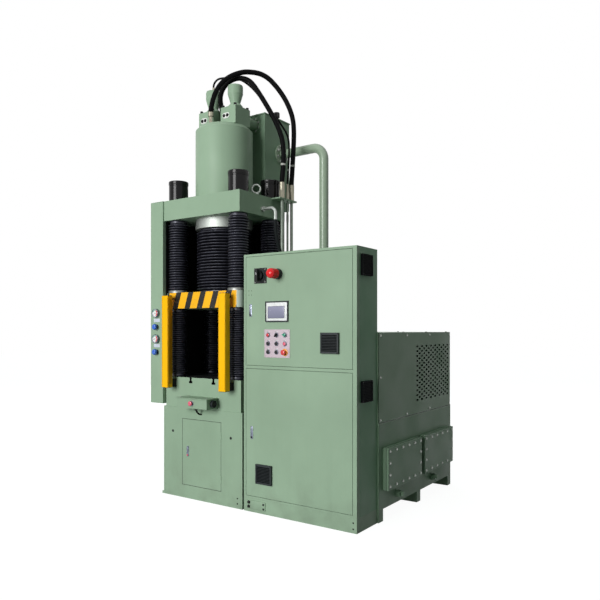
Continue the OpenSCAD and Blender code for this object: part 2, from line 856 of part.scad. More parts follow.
module lifting_eyes() {
    ring = (eye_d - eye_t) / 2;
    color(steel) for (s = [-1, 1])
        translate([s * (crown_w / 2 - eye_in), -s * eye_front, crown_top]) rotate([0, 0, eye_turn]) {
            cylinder(d = eye_collar_d, h = eye_collar_h);
            translate([0, 0, eye_collar_h + ring]) rotate([90, 0, 0])
                rotate_extrude() translate([ring, 0]) circle(d = eye_t);
        }
}

module side_guard() {
    low = guard_low + sheet_t + seam;
    top = crown_top - sheet_t - seam;
    color(green) {
        block([guard_left, guard_face, guard_low], [guard_right, guard_rear, guard_low + sheet_t]);
        block([guard_left, guard_face, crown_top - sheet_t], [guard_right, guard_rear, crown_top]);
        block([guard_left, guard_face, low], [guard_left + sheet_t, guard_rear, top]);
        for (y = [guard_face, guard_rear - sheet_t])
            block([guard_left + sheet_t + seam, y, low], [guard_right, y + sheet_t, top]);
        for (y = [guard_face + sheet_t + seam, guard_rear - sheet_t - seam - guard_flange])
            block([guard_right - sheet_t, y, low], [guard_right, y + guard_flange, top]);
    }
}

module pressure_gauges() {
    color(dark) for (z = [bed_top + gauge_up, bed_top + gauge_up - gauge_pitch])
        translate([guard_mid, guard_face - gauge_t, z]) rotate([-90, 0, 0])
            cylinder(d = gauge_d, h = gauge_t);
}

module rear_guard() {
    y = crown_d / 2;
    low = bed_top - rear_drop;
    liner_low = guard_low + sheet_t;
    liner_top = crown_top - sheet_t;
    color(dark) {
        block([-bed_w / 2, y, low], [bed_w / 2, y + sheet_t, crown_low + rear_lap]);
        block([-bed_w / 2, bed_d / 2, low], [bed_w / 2, y, low + rear_foot_h]);
        block(
            [guard_right - sheet_t, guard_face + sheet_t + guard_flange + seam * 2, liner_low],
            [guard_right, guard_rear - sheet_t - guard_flange - seam * 2, liner_top]);
    }
}

module light_curtains() {
    low = bed_top - post_drop;
    color(yellow) for (s = [-1, 1]) translate([s * post_pitch / 2, 0, 0])
        block([-post_w / 2, post_front, low], [post_w / 2, post_back, low + post_h]);
}

module curtain_brackets() {
    low = bed_top - post_drop;
    color(dark) for (s = [-1, 1]) translate([s * post_pitch / 2, 0, 0])
        block([-post_arm_w / 2, post_back, low], [post_arm_w / 2, bed_front, low + post_arm_h]);
}

module control_console() {
    w = console_w / 2;
    color(green) translate([console_x, 0, 0]) {
        block([-w, console_front, console_low], [w, bed_front, console_top - console_lid_t]);
        block(
            [-w - console_lip, console_front - console_lip, console_top - console_lid_t],
            [w + console_lip, bed_front, console_top]);
    }
}

module console_buttons() {
    z = (console_low + console_top) / 2;
    mid = (console_front + bed_front) / 2;
    color(red) {
        translate([console_x, console_front - button_out, z]) rotate([-90, 0, 0])
            cylinder(d = stop_d, h = button_out);
        for (s = [-1, 1]) translate([console_x + s * console_w / 2, mid, z]) rotate([0, s * 90, 0])
            cylinder(d = palm_d, h = button_out);
    }
}

module console_cable() {
    color(dark) translate([0, base_front, console_low]) rotate([0, 90, 0])
        rotate([0, 0, 270]) rotate_extrude(angle = 90) translate([cable_bend, 0]) circle(d = cable_d);
}

module cabinet_plinth() {
    color(green) block([cab_left, cab_front, 0], [cab_right, cab_back, plinth_h]);
}

module cabinet_shell() {
    front = cab_front + door_t + stop_t + seam;
    low = plinth_h;
    color(green) {
        for (x = [cab_left, cab_right - sheet_t])
            block([x, front, low], [x + sheet_t, cab_back, cab_h - sheet_t - seam]);
        block(
            [cab_left + sheet_t + seam, cab_back - sheet_t, low],
            [cab_right - sheet_t - seam, cab_back, cab_h - sheet_t - seam]);
        block([cab_left, front, cab_h - sheet_t], [cab_right, cab_back, cab_h]);
    }
}

// Opening for one cabinet door with the smaller way through its stop
module door_way(low, top) {
    block(
        [door_left - door_gap, cab_front - over, low - door_gap],
        [door_right + door_gap, cab_front + door_t, top + door_gap]);
    block(
        [door_left - door_gap + stop_w, cab_front - over, low - door_gap + stop_w],
        [door_right + door_gap - stop_w, cab_front + door_t + stop_t + over, top + door_gap - stop_w]);
}

module cabinet_frame() {
    color(green) difference() {
        block([cab_left, cab_front, plinth_h], [cab_right, cab_front + door_t + stop_t, cab_h]);
        door_way(low_door_low, low_door_top);
        door_way(up_door_low, up_door_top);
    }
}

module mounting_plate() {
    y = cab_back - sheet_t - plate_off;
    post = plate_margin + plate_off;
    color(steel) {
        block(
            [cab_left + plate_margin, y - plate_t, plinth_h + plate_margin],
            [cab_right - plate_margin, y, cab_h - plate_margin]);
        for (x = [cab_left + post, cab_right - post], z = [plinth_h + post, cab_h - post])
            block([x - plate_off, y, z - plate_off], [x + plate_off, cab_back - sheet_t, z + plate_off]);
    }
}

module side_filters() {
    color(slate) for (z = [side_filter_low, side_filter_top])
        translate([cab_right, side_filter_y, z])
            block([0, -filter_w / 2, -filter_w / 2], [filter_t, filter_w / 2, filter_w / 2]);
}

// Folded sheet door with its open pan to the rear
module pan_door(low, top) {
    color(green) difference() {
        block([door_left, cab_front, low], [door_right, cab_front + door_t, top]);
        block(
            [door_left + door_fold, cab_front + door_sheet, low + door_fold],
            [door_right - door_fold, cab_front + door_t + over, top - door_fold]);
    }
}

module upper_door() {
    pan_door(up_door_low, up_door_top);
}

module lower_door() {
    pan_door(low_door_low, low_door_top);
}

// Plate on a cabinet door's face
module face_plate(x, z, w, h, t) {
    translate([x, cab_front, z]) block([-w / 2, -t, -h / 2], [w / 2, 0, h / 2]);
}

module upper_filter() {
    color(slate) face_plate(up_filter_x, up_filter_z, filter_w, filter_w, filter_t);
}

module lower_filter() {
    color(slate) face_plate(low_filter_x, low_filter_z, filter_w, filter_w, filter_t);
}

module hmi_panel() {
    color(slate) face_plate(hmi_x, hmi_z, hmi_w, hmi_h, hmi_t);
}

module button_plate() {
    color(steel) face_plate(hmi_x, buttons_z, buttons_w, buttons_h, buttons_t);
}

module beacon() {
    color(red) translate([beacon_x, cab_front, beacon_z]) rotate([90, 0, 0]) {
        cylinder(d = beacon_d + sheet_t, h = beacon_base);
        cylinder(d = beacon_d, h = beacon_out - beacon_d / 2);
        translate([0, 0, beacon_out - beacon_d / 2]) sphere(d = beacon_d);
    }
}

module isolator_plate() {
    color(yellow) face_plate(isolator_x, isolator_z, isolator_w, isolator_w, isolator_t);
}

module isolator_handle() {
    color(dark) translate([isolator_x, cab_front - isolator_t - hair, isolator_z]) {
        rotate([90, 0, 0]) cylinder(d = isolator_hub_d, h = isolator_hub_t);
        block(
            [-grip_w / 2, -isolator_hub_t - grip_t, -grip_l / 2],
            [grip_w / 2, -isolator_hub_t, grip_l / 2]);
    }
}

module oil_tank() {
    low = feet_h + oil_wall + seam;
    top = oil_top - deck_t;
    color(green) {
        block([unit_left, unit_front, feet_h], [unit_right, unit_back, feet_h + oil_wall]);
        for (x = [unit_left, unit_right - oil_wall])
            block([x, unit_front, low], [x + oil_wall, unit_back, top]);
        for (y = [unit_front, unit_back - oil_wall])
            block([unit_left + oil_wall + seam, y, low], [unit_right - oil_wall - seam, y + oil_wall, top]);
    }
}

module tank_deck() {
    color(green) block([unit_left, unit_front, oil_top - deck_t], [unit_right, unit_back, oil_top]);
}

module motor_cover() {
    top = unit_top - sheet_t - seam;
    color(green) {
        block([unit_left, unit_front, oil_top], [unit_left + sheet_t, hood_back, top]);
        for (y = [unit_front, hood_back - sheet_t])
            block([unit_left + sheet_t + seam, y, oil_top], [unit_right - sheet_t - seam, y + sheet_t, top]);
        block([unit_left, unit_front, unit_top - sheet_t], [unit_right, hood_back, unit_top]);
    }
}

module hood_side() {
    last_y = unit_back - vent_in;
    x = unit_right - sheet_t - over;
    l = vent_slot_l / 2;
    h = vent_slot_h / 2;
    color(green) difference() {
        block(
            [unit_right - sheet_t, unit_front, oil_top],
            [unit_right, hood_back, unit_top - sheet_t - seam]);
        for (c = [0 : vent_cols - 1], r = [0 : vent_rows - 1 - c % 2])
            translate([x, last_y - c * vent_pitch_y, oil_top + vent_up + (r + (c % 2) / 2) * vent_pitch_z])
                rotate([90, 0, 90]) linear_extrude(height = sheet_t + over * 2)
                    polygon([[-l, 0], [h - l, -h], [l - h, -h], [l, 0], [l - h, h], [h - l, h]]);
    }
}

module drain_plugs() {
    color(green) for (y = [plug_a_in, unit_d - plug_b_in])
        translate([unit_right, unit_front + y, feet_h + plug_up]) rotate([0, 90, 0]) {
            cylinder(d = plug_boss_d, h = plug_boss_l);
            translate([0, 0, plug_boss_l]) cylinder(d = plug_hex_d, h = plug_hex_l, $fn = hex_sides);
        }
}

module cleaning_covers() {
    low = feet_h + cover_up;
    a = unit_front + cover_a_in;
    b = a + cover_a_w + cover_gap;
    color(green) {
        block([unit_right, a, low], [unit_right + cover_t, a + cover_a_w, low + cover_h]);
        block([unit_right, b, low], [unit_right + cover_t, b + cover_b_w, low + cover_h]);
    }
}

module unit_feet() {
    step = (unit_d - foot_w) / 2;
    color(green) for (i = [0, 1, 2]) translate([0, unit_front + i * step, 0])
        block([unit_left, 0, 0], [unit_right, foot_w, feet_h]);
}

// Pleated sleeve about the vertical through its own axis
module bellows(low, top, outer, deep, pleats, bore) {
    step = (top - low) / pleats;
    zig = [for (i = [0 : pleats - 1]) each
        [[outer - deep, low + i * step], [outer, low + i * step + step / 2]]];
    rotate_extrude() polygon(concat([[bore, low]], zig, [[outer - deep, top], [bore, top]]));
}

module upper_bellows() {
    color(dark) at_columns()
        bellows(
            slide_top, crown_low, upper_bellows_d / 2, pleat_deep, upper_pleats, col_d / 2 + bellows_gap);
}

module lower_bellows() {
    color(dark) at_columns()
        bellows(bed_top, slide_low, lower_bellows_d / 2, pleat_deep, lower_pleats, col_d / 2 + bellows_gap);
}

module ram_bellows() {
    bore = ram_d / 2 + bellows_gap;
    color(dark) bellows(slide_top, collar_low, ram_bellows_d / 2, ram_pleat_deep, ram_pleats, bore);
}

module slide() {
    side = col_x + slide_r;
    face = col_y + slide_r;
    r = slide_corner;
    color(green) difference() {
        union() {
            block([-side, -face + r, slide_low], [side, face - r, slide_top]);
            block([-side + r, -face, slide_low], [side - r, face, slide_top]);
            for (x = [r - side, side - r], y = [r - face, face - r])
                bar(x, y, slide_low, slide_top, r * 2);
        }
        at_columns() bar(0, 0, slide_low - over, slide_top + over, col_d + slide_clear * 2);
    }
}

module ram() {
    color(steel) bar(0, 0, slide_top, ram_top, ram_d);
}

function unit(v) = v / norm(v);
function upright(v) = [0, 0, v.z / abs(v.z)];
function heading(p, i) = i == 0 ? upright(p[1] - p[0])
    : i == len(p) - 1 ? upright(p[i] - p[i - 1]) : unit(p[i + 1] - p[i - 1]);
function ring_at(c, t, side, r) =
    let (a = unit(cross(t, side)), b = cross(t, a))
    [for (k = [0 : hose_sides - 1])
        c + r * cos(360 * k / hose_sides) * a + r * sin(360 * k / hose_sides) * b];
function plan(from, to, share) = [for (i = [0, 1]) from[i] + (to[i] - from[i]) * share];
function climb(from, to, crest, rise_shares, fall_shares) = concat(
    [for (s = rise_shares) concat(plan(from, to, s[0]), [from.z + (crest - from.z) * s[1]])],
    [for (s = fall_shares) concat(plan(from, to, s[0]), [to.z + (crest - to.z) * s[1]])]);

// Tube swept along a route in one upright plane, each ring square to the route
module hose(p, d) {
    n = len(p);
    run = p[n - 1] - p[0];
    side = unit([-run.y, run.x, 0]);
    pts = [for (i = [0 : n - 1]) each ring_at(p[i], heading(p, i), side, d / 2)];
    walls = [for (i = [0 : n - 2], k = [0 : hose_sides - 1])
        let (m = (k + 1) % hose_sides, a = i * hose_sides)
        each [[a + k, a + m, a + hose_sides + m], [a + k, a + hose_sides + m, a + hose_sides + k]]];
    first = [for (k = [0 : hose_sides - 1]) hose_sides - 1 - k];
    last = [for (k = [0 : hose_sides - 1]) (n - 1) * hose_sides + k];
    polyhedron(points = pts, faces = concat([first], walls, [last]));
}

module pressure_hose() {
    from = [pipe_x, pipe_c_y, hose_low];
    to = port_a + [0, 0, port_stub_h + port_ferrule_h];
    color(dark) hose(climb(from, to, cap_top + crest_a_up, hose_a_rise_shares, hose_a_fall_shares), hose_d);
}

module supply_hose() {
    from = [pipe_x, pipe_a_y, hose_low];
    to = port_b + [0, 0, port_nut_h + port_ferrule_h];
    color(dark) hose(climb(from, to, cap_top + crest_b_up, hose_b_rise_shares, hose_b_fall_shares), hose_d);
}

module pilot_hose() {
    from = [pipe_x, pipe_b_y, hose_low];
    to = port_c + [0, 0, brass_h * 2];
    color(dark) hose(climb(from, to, cap_top + crest_c_up, hose_c_rise_shares, hose_c_fall_shares), pilot_d);
}

module drain_hose() {
    from = [drain_end_x, drain_y, drain_end_z];
    to = [drain_end_x, drain_land_y, unit_top + port_nut_h * 2];
    color(slate) hose(climb(from, to, to.z, drain_shares, []), drain_hose_d);
}

base_floor();
base_walls();
base_front_wall();
bed();
columns();
column_nuts();
crown();
main_cylinder();
cylinder_nut();
valve_blocks();
valve_caps();
prefill_tank();
prefill_lid();
prefill_pipes();
crown_brackets();
return_pipe();
pressure_pipes();
hose_fittings();
drain_elbow();
lifting_eyes();
side_guard();
pressure_gauges();
rear_guard();
light_curtains();
curtain_brackets();
control_console();
console_buttons();
console_cable();
cabinet_plinth();
cabinet_shell();
cabinet_frame();
mounting_plate();
side_filters();
oil_tank();
tank_deck();
motor_cover();
hood_side();
cleaning_covers();
drain_plugs();
unit_feet();
upper_bellows();
lower_bellows();
ram_bellows();
pressure_hose();
supply_hose();
pilot_hose();
drain_hose();
slide();
ram();
upper_door();
upper_filter();
hmi_panel();
button_plate();
beacon();
isolator_plate();
isolator_handle();
lower_door();
lower_filter();
base_door();
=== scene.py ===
"""Dresses the four-column hydraulic press with its hoses, bellows, fittings and finishes."""

import logging
import math
from collections.abc import Callable, Iterable, Sequence
from dataclasses import dataclass, field
from enum import Enum

import bmesh
import bpy
from mathutils import Matrix, Vector


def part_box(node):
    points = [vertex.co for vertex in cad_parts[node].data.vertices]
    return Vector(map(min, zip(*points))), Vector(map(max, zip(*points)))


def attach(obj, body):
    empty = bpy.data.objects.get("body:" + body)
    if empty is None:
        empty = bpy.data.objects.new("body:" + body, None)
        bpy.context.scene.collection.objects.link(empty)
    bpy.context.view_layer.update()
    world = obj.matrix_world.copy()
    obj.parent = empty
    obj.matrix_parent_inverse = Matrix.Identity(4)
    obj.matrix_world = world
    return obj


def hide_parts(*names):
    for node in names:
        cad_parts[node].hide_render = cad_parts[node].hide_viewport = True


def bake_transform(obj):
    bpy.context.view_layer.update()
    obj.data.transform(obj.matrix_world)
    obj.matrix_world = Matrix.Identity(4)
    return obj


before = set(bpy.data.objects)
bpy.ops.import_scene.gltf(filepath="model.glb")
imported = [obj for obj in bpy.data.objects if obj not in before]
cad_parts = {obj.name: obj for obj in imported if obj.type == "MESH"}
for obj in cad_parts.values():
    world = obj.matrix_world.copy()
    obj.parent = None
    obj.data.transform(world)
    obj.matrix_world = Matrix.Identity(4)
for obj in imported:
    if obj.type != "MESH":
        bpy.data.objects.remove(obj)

LOG = logging.getLogger("press")
Point = tuple[float, float, float]
Colour = tuple[float, float, float]
Profile = Sequence[tuple[float, float]]
Spot = tuple[float, float]
HEX = 6
WHITE: Colour = (1.0, 1.0, 1.0)
COLUMNS: Sequence[Spot] = ((-0.337, -0.212), (-0.337, 0.212), (0.337, -0.212), (0.337, 0.212))


class Body(str, Enum):
    """The bodies that pieces ride on."""

    FRAME = "frame"
    SLIDE = "slide"
    UPPER_DOOR = "upper_door"
    ISOLATOR = "isolator"
    LOWER_DOOR = "lower_door"
    BASE_DOOR = "base_door"


class Facing(Enum):
    """The way that a fitted piece looks, as its own right, up and out directions."""

    FRONT = ((1, 0, 0), (0, 0, 1), (0, -1, 0))
    BACK = ((-1, 0, 0), (0, 0, 1), (0, 1, 0))
    RIGHT = ((0, 1, 0), (0, 0, 1), (1, 0, 0))
    LEFT = ((0, -1, 0), (0, 0, 1), (-1, 0, 0))
    UP = ((1, 0, 0), (0, 1, 0), (0, 0, 1))
    DOWN = ((1, 0, 0), (0, -1, 0), (0, 0, -1))

    def seat(self, at: Point) -> Matrix:
        """Gives the placing of a piece that was modelled flat at the origin.

        Args:
            at: The point on the face that carries the piece, in metres.

        Returns:
            The matrix that brings the piece there.
        """
        right, up, out = self.value
        turn = Matrix((right, up, out)).transposed().to_4x4()
        return Matrix.Translation(at) @ turn


def turned_by(degrees: float) -> Matrix:
    """Gives a turn about the way that a seat looks."""
    return Matrix.Rotation(math.radians(degrees), 4, "Z")


def linear(red: int, green: int, blue: int) -> Colour:
    """Gives the linear colour of a screen colour of 0 to 255."""
    parts = [c / 255 for c in (red, green, blue)]
    return tuple(p / 12.92 if p < 0.04045 else ((p + 0.055) / 1.055) ** 2.4 for p in parts)


def shaded(colour: Colour, share: float, lift: float = 0.0) -> Colour:
    """Gives a darker or paler tone of a colour."""
    return tuple(min(c * share + lift, 1.0) for c in colour)


class Graph:
    """The nodes of one material, built from small steps on Object coordinates."""

    def __init__(self, name: str) -> None:
        """Makes an empty material with one shader."""
        self.material = bpy.data.materials.new(name)
        self.material.use_nodes = True
        self.tree = self.material.node_tree
        self.tree.nodes.clear()
        self.shader = self.add("ShaderNodeBsdfPrincipled")
        output = self.add("ShaderNodeOutputMaterial")
        self.tree.links.new(self.shader.outputs["BSDF"], output.inputs["Surface"])
        self.place = self.add("ShaderNodeTexCoord").outputs["Object"]

    def add(self, kind: str, **values: object) -> bpy.types.Node:
        """Adds a node and sets its properties."""
        node = self.tree.nodes.new(kind)
        for name, value in values.items():
            setattr(node, name, value)
        return node

    def feed(self, socket: bpy.types.NodeSocket, value: object) -> None:
        """Links a socket to a socket, or sets its value."""
        if isinstance(value, bpy.types.NodeSocket):
            self.tree.links.new(value, socket)
        elif isinstance(value, tuple) and len(value) == 3 and socket.type == "RGBA":
            socket.default_value = (*value, 1.0)
        else:
            socket.default_value = value

    def set(self, **values: object) -> None:
        """Feeds the shader's own sockets, with spaces written as underscores."""
        for name, value in values.items():
            self.feed(self.shader.inputs[name.replace("_", " ")], value)

    def stretched(self, scale: Point) -> bpy.types.NodeSocket:
        """Gives the coordinates scaled along each axis."""
        node = self.add("ShaderNodeMapping")
        self.feed(node.inputs["Vector"], self.place)
        node.inputs["Scale"].default_value = scale
        return node.outputs["Vector"]

    def noise(self, scale: float, detail: float = 3.0, stretch: Point | None = None) -> bpy.types.NodeSocket:
        """Gives a noise value.

        Args:
            scale: Waves per metre.
            detail: Octaves.
            stretch: Scale along each axis, where the pattern isn't even.

        Returns:
            The value socket, about 0.25 to 0.75.
        """
        node = self.add("ShaderNodeTexNoise")
        self.feed(node.inputs["Vector"], self.stretched(stretch) if stretch else self.place)
        node.inputs["Scale"].default_value = scale
        node.inputs["Detail"].default_value = detail
        return node.outputs[0]

    def range(self, value: object, low: float, high: float, to: Spot = (0.0, 1.0)) -> bpy.types.NodeSocket:
        """Maps a value from low and high to two others, held between them."""
        node = self.add("ShaderNodeMapRange", clamp=True)
        self.feed(node.inputs["Value"], value)
        node.inputs["From Min"].default_value = low
        node.inputs["From Max"].default_value = high
        node.inputs["To Min"].default_value = to[0]
        node.inputs["To Max"].default_value = to[1]
        return node.outputs["Result"]

    def patch(
        self, scale: float, detail: float, low: float = 0.3, high: float = 0.7,
        to: Spot = (0.0, 1.0), stretch: Point | None = None,
    ) -> bpy.types.NodeSocket:
        """Gives noise, mapped from low and high to two values and held between them."""
        return self.range(self.noise(scale, detail, stretch), low, high, to)

    def math(self, step: str, first: object, second: object = 0.0) -> bpy.types.NodeSocket:
        """Gives one step of arithmetic on two values."""
        node = self.add("ShaderNodeMath", operation=step)
        self.feed(node.inputs[0], first)
        self.feed(node.inputs[1], second)
        return node.outputs[0]

    def times(self, first: object, second: object) -> bpy.types.NodeSocket:
        """Gives the product of two values."""
        return self.math("MULTIPLY", first, second)

    def mix(self, share: object, first: object, second: object) -> bpy.types.NodeSocket:
        """Mixes two colours by a share."""
        node = self.add("ShaderNodeMix", data_type="RGBA")
        self.feed(node.inputs[0], share)
        self.feed(node.inputs[6], first)
        self.feed(node.inputs[7], second)
        return node.outputs[2]

    def axis(self, name: str) -> bpy.types.NodeSocket:
        """Gives one coordinate of the place on the piece."""
        node = self.add("ShaderNodeSeparateXYZ")
        self.feed(node.inputs[0], self.place)
        return node.outputs[name]

    def rounded(self, radius: float) -> bpy.types.NodeSocket:
        """Gives the normal of edges broken by a radius."""
        node = self.add("ShaderNodeBevel", samples=4)
        node.inputs["Radius"].default_value = radius
        return node.outputs["Normal"]

    def edges(self, radius: float) -> bpy.types.NodeSocket:
        """Gives 1 along the edges of a piece and 0 on its faces."""
        node = self.add("ShaderNodeVectorMath", operation="DOT_PRODUCT")
        self.feed(node.inputs[0], self.rounded(radius))
        self.feed(node.inputs[1], self.add("ShaderNodeNewGeometry").outputs["Normal"])
        return self.range(node.outputs["Value"], 0.99, 0.78)

    def bump(self, height: object, depth: float, normal: object = None) -> bpy.types.NodeSocket:
        """Gives the normal of a height of that depth in metres."""
        node = self.add("ShaderNodeBump")
        node.inputs["Distance"].default_value = depth
        node.inputs["Strength"].default_value = 1.0
        self.feed(node.inputs["Height"], height)
        if normal is not None:
            self.feed(node.inputs["Normal"], normal)
        return node.outputs["Normal"]


class Finish:
    """A finish that makes its material once and lends it to every piece."""

    _made: dict[str, bpy.types.Material] = {}

    def nodes(self, graph: Graph) -> None:
        """Builds the finish in a fresh graph."""
        raise NotImplementedError

    def material(self) -> bpy.types.Material:
        """Gives the material, made at its first use."""
        key = repr(self)
        if key not in Finish._made:
            graph = Graph(self.name)
            self.nodes(graph)
            Finish._made[key] = graph.material
        return Finish._made[key]

    def on(self, piece: bpy.types.Object) -> None:
        """Gives the finish to a whole piece."""
        piece.data.materials.clear()
        piece.data.materials.append(self.material())


@dataclass(frozen=True)
class ShopPaint(Finish):
    """Sprayed machine paint: soft orange peel, cloudy tone, faint runs, floor dirt, and rubbed edges with a
    painted highlight all along them.
    """

    name: str
    colour: Colour
    gloss: float = 0.42
    edge_wear_and_sheen: float = 0.35
    dirt: float = 0.30
    shine: float = 0.14
    cloudy: float = 0.09

    def tone(self, graph: Graph) -> bpy.types.NodeSocket:
        """Gives the colour over the piece."""
        dark = shaded(self.colour, 1 - self.cloudy)
        pale = shaded(self.colour, 1.06, 0.005)
        cloud = graph.patch(1.7, 4.0)
        runs = graph.patch(9.0, 3.0, 0.52, 0.78, (0.0, 0.22), (1.0, 1.0, 0.09))
        tone = graph.mix(cloud, dark, pale)
        tone = graph.mix(runs, tone, shaded(self.colour, 0.8))
        grime = graph.patch(6.5, 5.0, 0.42, 0.72)
        foot = graph.range(graph.axis("Z"), 0.42, 0.0, (0.0, self.dirt))
        tone = graph.mix(graph.times(grime, foot), tone, (0.10, 0.10, 0.075))
        # Edges are paled: chipped wear where the noise is high, and a painted highlight of at least 0.4 of
        # the strength along every edge.
        chips_and_sheen = graph.patch(38.0, 4.0, 0.50, 0.62, (0.4, 1.0))
        worn = graph.times(graph.edges(0.004), chips_and_sheen)
        worn = graph.times(worn, self.edge_wear_and_sheen)
        return graph.mix(worn, tone, shaded(self.colour, 1.5, 0.05))

    def nodes(self, graph: Graph) -> None:
        """Builds the paint."""
        peel = graph.noise(420.0, 2.0)
        wave = graph.noise(3.2, 2.0)
        height = graph.math("ADD", graph.times(peel, 0.16), wave)
        graph.set(Base_Color=self.tone(graph), Specular_IOR_Level=self.shine)
        shine = graph.patch(4.0, 3.0, 0.3, 0.7, (self.gloss - 0.07, self.gloss + 0.09))
        graph.set(Roughness=shine, Normal=graph.bump(height, 0.0012, graph.rounded(0.0035)))


@dataclass(frozen=True)
class BedPaint(ShopPaint):
    """Machine paint on the bed's sides; its working face and the walls of its T-slots are darkened by an oil
    film and painted shade.
    """

    oil_and_shade: Colour = linear(34, 36, 36)
    top: float = 1.013
    front: float = -0.278
    slot_x: float = 0.128
    slot_half: float = 0.0206
    slot_low: float = 0.9625

    def tone(self, graph: Graph) -> bpy.types.NodeSocket:
        """Gives the colour over the bed."""
        paint = super().tone(graph)
        height = graph.axis("Z")
        face = graph.range(height, self.top - 0.0005, self.top - 0.0003)
        off = graph.math("SUBTRACT", graph.math("ABSOLUTE", graph.axis("X")), self.slot_x)
        slot = graph.range(graph.math("ABSOLUTE", off), self.slot_half, self.slot_half + 0.0002, (1.0, 0.0))
        slot = graph.times(slot, graph.range(height, self.slot_low, self.slot_low + 0.0002))
        slot = graph.times(slot, graph.range(graph.axis("Y"), self.front + 0.0003, self.front + 0.0005))
        # The working face and the T-slot walls take the oil colour: an oil film, and painted shade in the die
        # space and in the slots.
        film = graph.patch(14.0, 5.0, 0.35, 0.7)
        oil = graph.mix(film, shaded(self.oil_and_shade, 0.6), shaded(self.oil_and_shade, 1.5))
        return graph.mix(graph.math("MAXIMUM", face, slot), paint, oil)


@dataclass(frozen=True)
class VentPaint(ShopPaint):
    """Machine paint on the sides of a pierced sheet, with the walls of its slots in shade."""

    shade: Colour = linear(14, 18, 15)

    def tone(self, graph: Graph) -> bpy.types.NodeSocket:
        """Gives the colour over the sheet."""
        paint = super().tone(graph)
        parts = graph.add("ShaderNodeSeparateXYZ")
        graph.feed(parts.inputs[0], graph.add("ShaderNodeNewGeometry").outputs["True Normal"])
        flat = graph.range(graph.math("ABSOLUTE", parts.outputs["X"]), 0.5, 0.6)
        return graph.mix(flat, self.shade, paint)


@dataclass(frozen=True)
class HazardPaint(Finish):
    """The slide's paint, with slanted stripes over the flat of its front face and a painted reflection, a
    pale tone, on its right-hand rounded corner.
    """

    name: str
    ground: Colour
    bright: Colour
    black: Colour
    # Pale tone of the right-hand rounded corner: a painted reflection.
    pale: Colour = linear(180, 195, 184)
    pitch: float = 0.1407
    share: float = 0.571
    blur: float = 0.004
    start: float = 0.0887
    lean: float = 0.33
    reach: float = 0.384
    face: float = -0.289

    def nodes(self, graph: Graph) -> None:
        """Builds the paint."""
        along = graph.math("SUBTRACT", graph.axis("X"), graph.times(graph.axis("Z"), self.lean))
        along = graph.math("ADD", along, self.start + 20 * self.pitch)
        step = graph.math("FRACT", graph.math("DIVIDE", along, self.pitch))
        wobble = graph.times(graph.noise(30.0, 2.0), 0.012)
        low, high = self.share - self.blur, self.share + self.blur
        bright = graph.range(graph.math("ADD", step, wobble), low, high, (1.0, 0.0))
        front = graph.range(graph.axis("Y"), self.face, self.face + 0.0004, (1.0, 0.0))
        aside = graph.math("ABSOLUTE", graph.axis("X"))
        flat = graph.range(aside, self.reach, self.reach + 0.001, (1.0, 0.0))
        cloud = graph.patch(3.0, 4.0)
        ground = graph.mix(cloud, shaded(self.ground, 0.88), shaded(self.ground, 1.08))
        # Past the flat front on the right, over the rounded corner and the end, the ground turns to the pale
        # tone: a painted reflection.
        ground = graph.mix(graph.range(graph.axis("X"), self.reach, self.reach + 0.002), ground, self.pale)
        yellow = graph.mix(cloud, shaded(self.bright, 0.9), self.bright)
        stripes = graph.mix(bright, self.black, yellow)
        scuffs = graph.patch(55.0, 5.0, 0.60, 0.74, (0.0, 0.5), (0.35, 1.0, 1.0))
        stripes = graph.mix(scuffs, stripes, (0.16, 0.15, 0.12))
        tone = graph.mix(graph.times(front, flat), ground, stripes)
        worn = graph.times(graph.edges(0.004), graph.patch(40.0, 4.0, 0.48, 0.6, (0.0, 0.5)))
        tone = graph.mix(worn, tone, (0.45, 0.47, 0.45))
        graph.set(Base_Color=tone, Specular_IOR_Level=0.25)
        graph.set(Roughness=graph.range(cloud, 0.0, 1.0, (0.36, 0.5)))
        graph.set(Normal=graph.bump(graph.noise(300.0, 2.0), 0.0002, graph.rounded(0.004)))


@dataclass(frozen=True)
class Machined(Finish):
    """Bare metal with fine tool lines along one way, oil haze and dull spots."""

    name: str
    colour: Colour
    rough: float = 0.28
    lines: Point = (1.0, 1.0, 14.0)
    haze: float = 0.25
    metal: float = 1.0

    def nodes(self, graph: Graph) -> None:
        """Builds the metal."""
        grain = graph.noise(60.0, 4.0, self.lines)
        spots = graph.patch(11.0, 5.0, 0.50, 0.75, (0.0, self.haze))
        tone = graph.mix(graph.range(grain, 0.3, 0.7), shaded(self.colour, 0.84), self.colour)
        tone = graph.mix(spots, tone, shaded(self.colour, 0.55))
        graph.set(Base_Color=tone, Metallic=self.metal)
        graph.set(Roughness=graph.range(grain, 0.3, 0.7, (self.rough - 0.06, self.rough + 0.12)))
        graph.set(Normal=graph.bump(grain, 0.00012, graph.rounded(0.0015)))


@dataclass(frozen=True)
class BlackOxide(Finish):
    """Blued black steel with turned lines, a violet cast and bright rubbed edges."""

    name: str
    colour: Colour = linear(9, 8, 10)
    rough: float = 0.15

    def nodes(self, graph: Graph) -> None:
        """Builds the metal."""
        turned = graph.noise(20.0, 3.0, (1.0, 1.0, 30.0))
        cloud = graph.patch(14.0, 4.0)
        tone = graph.mix(cloud, shaded(self.colour, 0.65), shaded(self.colour, 1.35))
        rubbed = graph.times(graph.edges(0.003), graph.patch(30.0, 3.0, 0.4, 0.6, (0.1, 0.5)))
        tone = graph.mix(rubbed, tone, (0.08, 0.075, 0.08))
        graph.set(Base_Color=tone, Specular_IOR_Level=0.2)
        graph.set(Roughness=graph.range(turned, 0.3, 0.7, (self.rough - 0.08, self.rough + 0.1)))
        graph.set(Normal=graph.bump(turned, 0.00005, graph.rounded(0.002)))


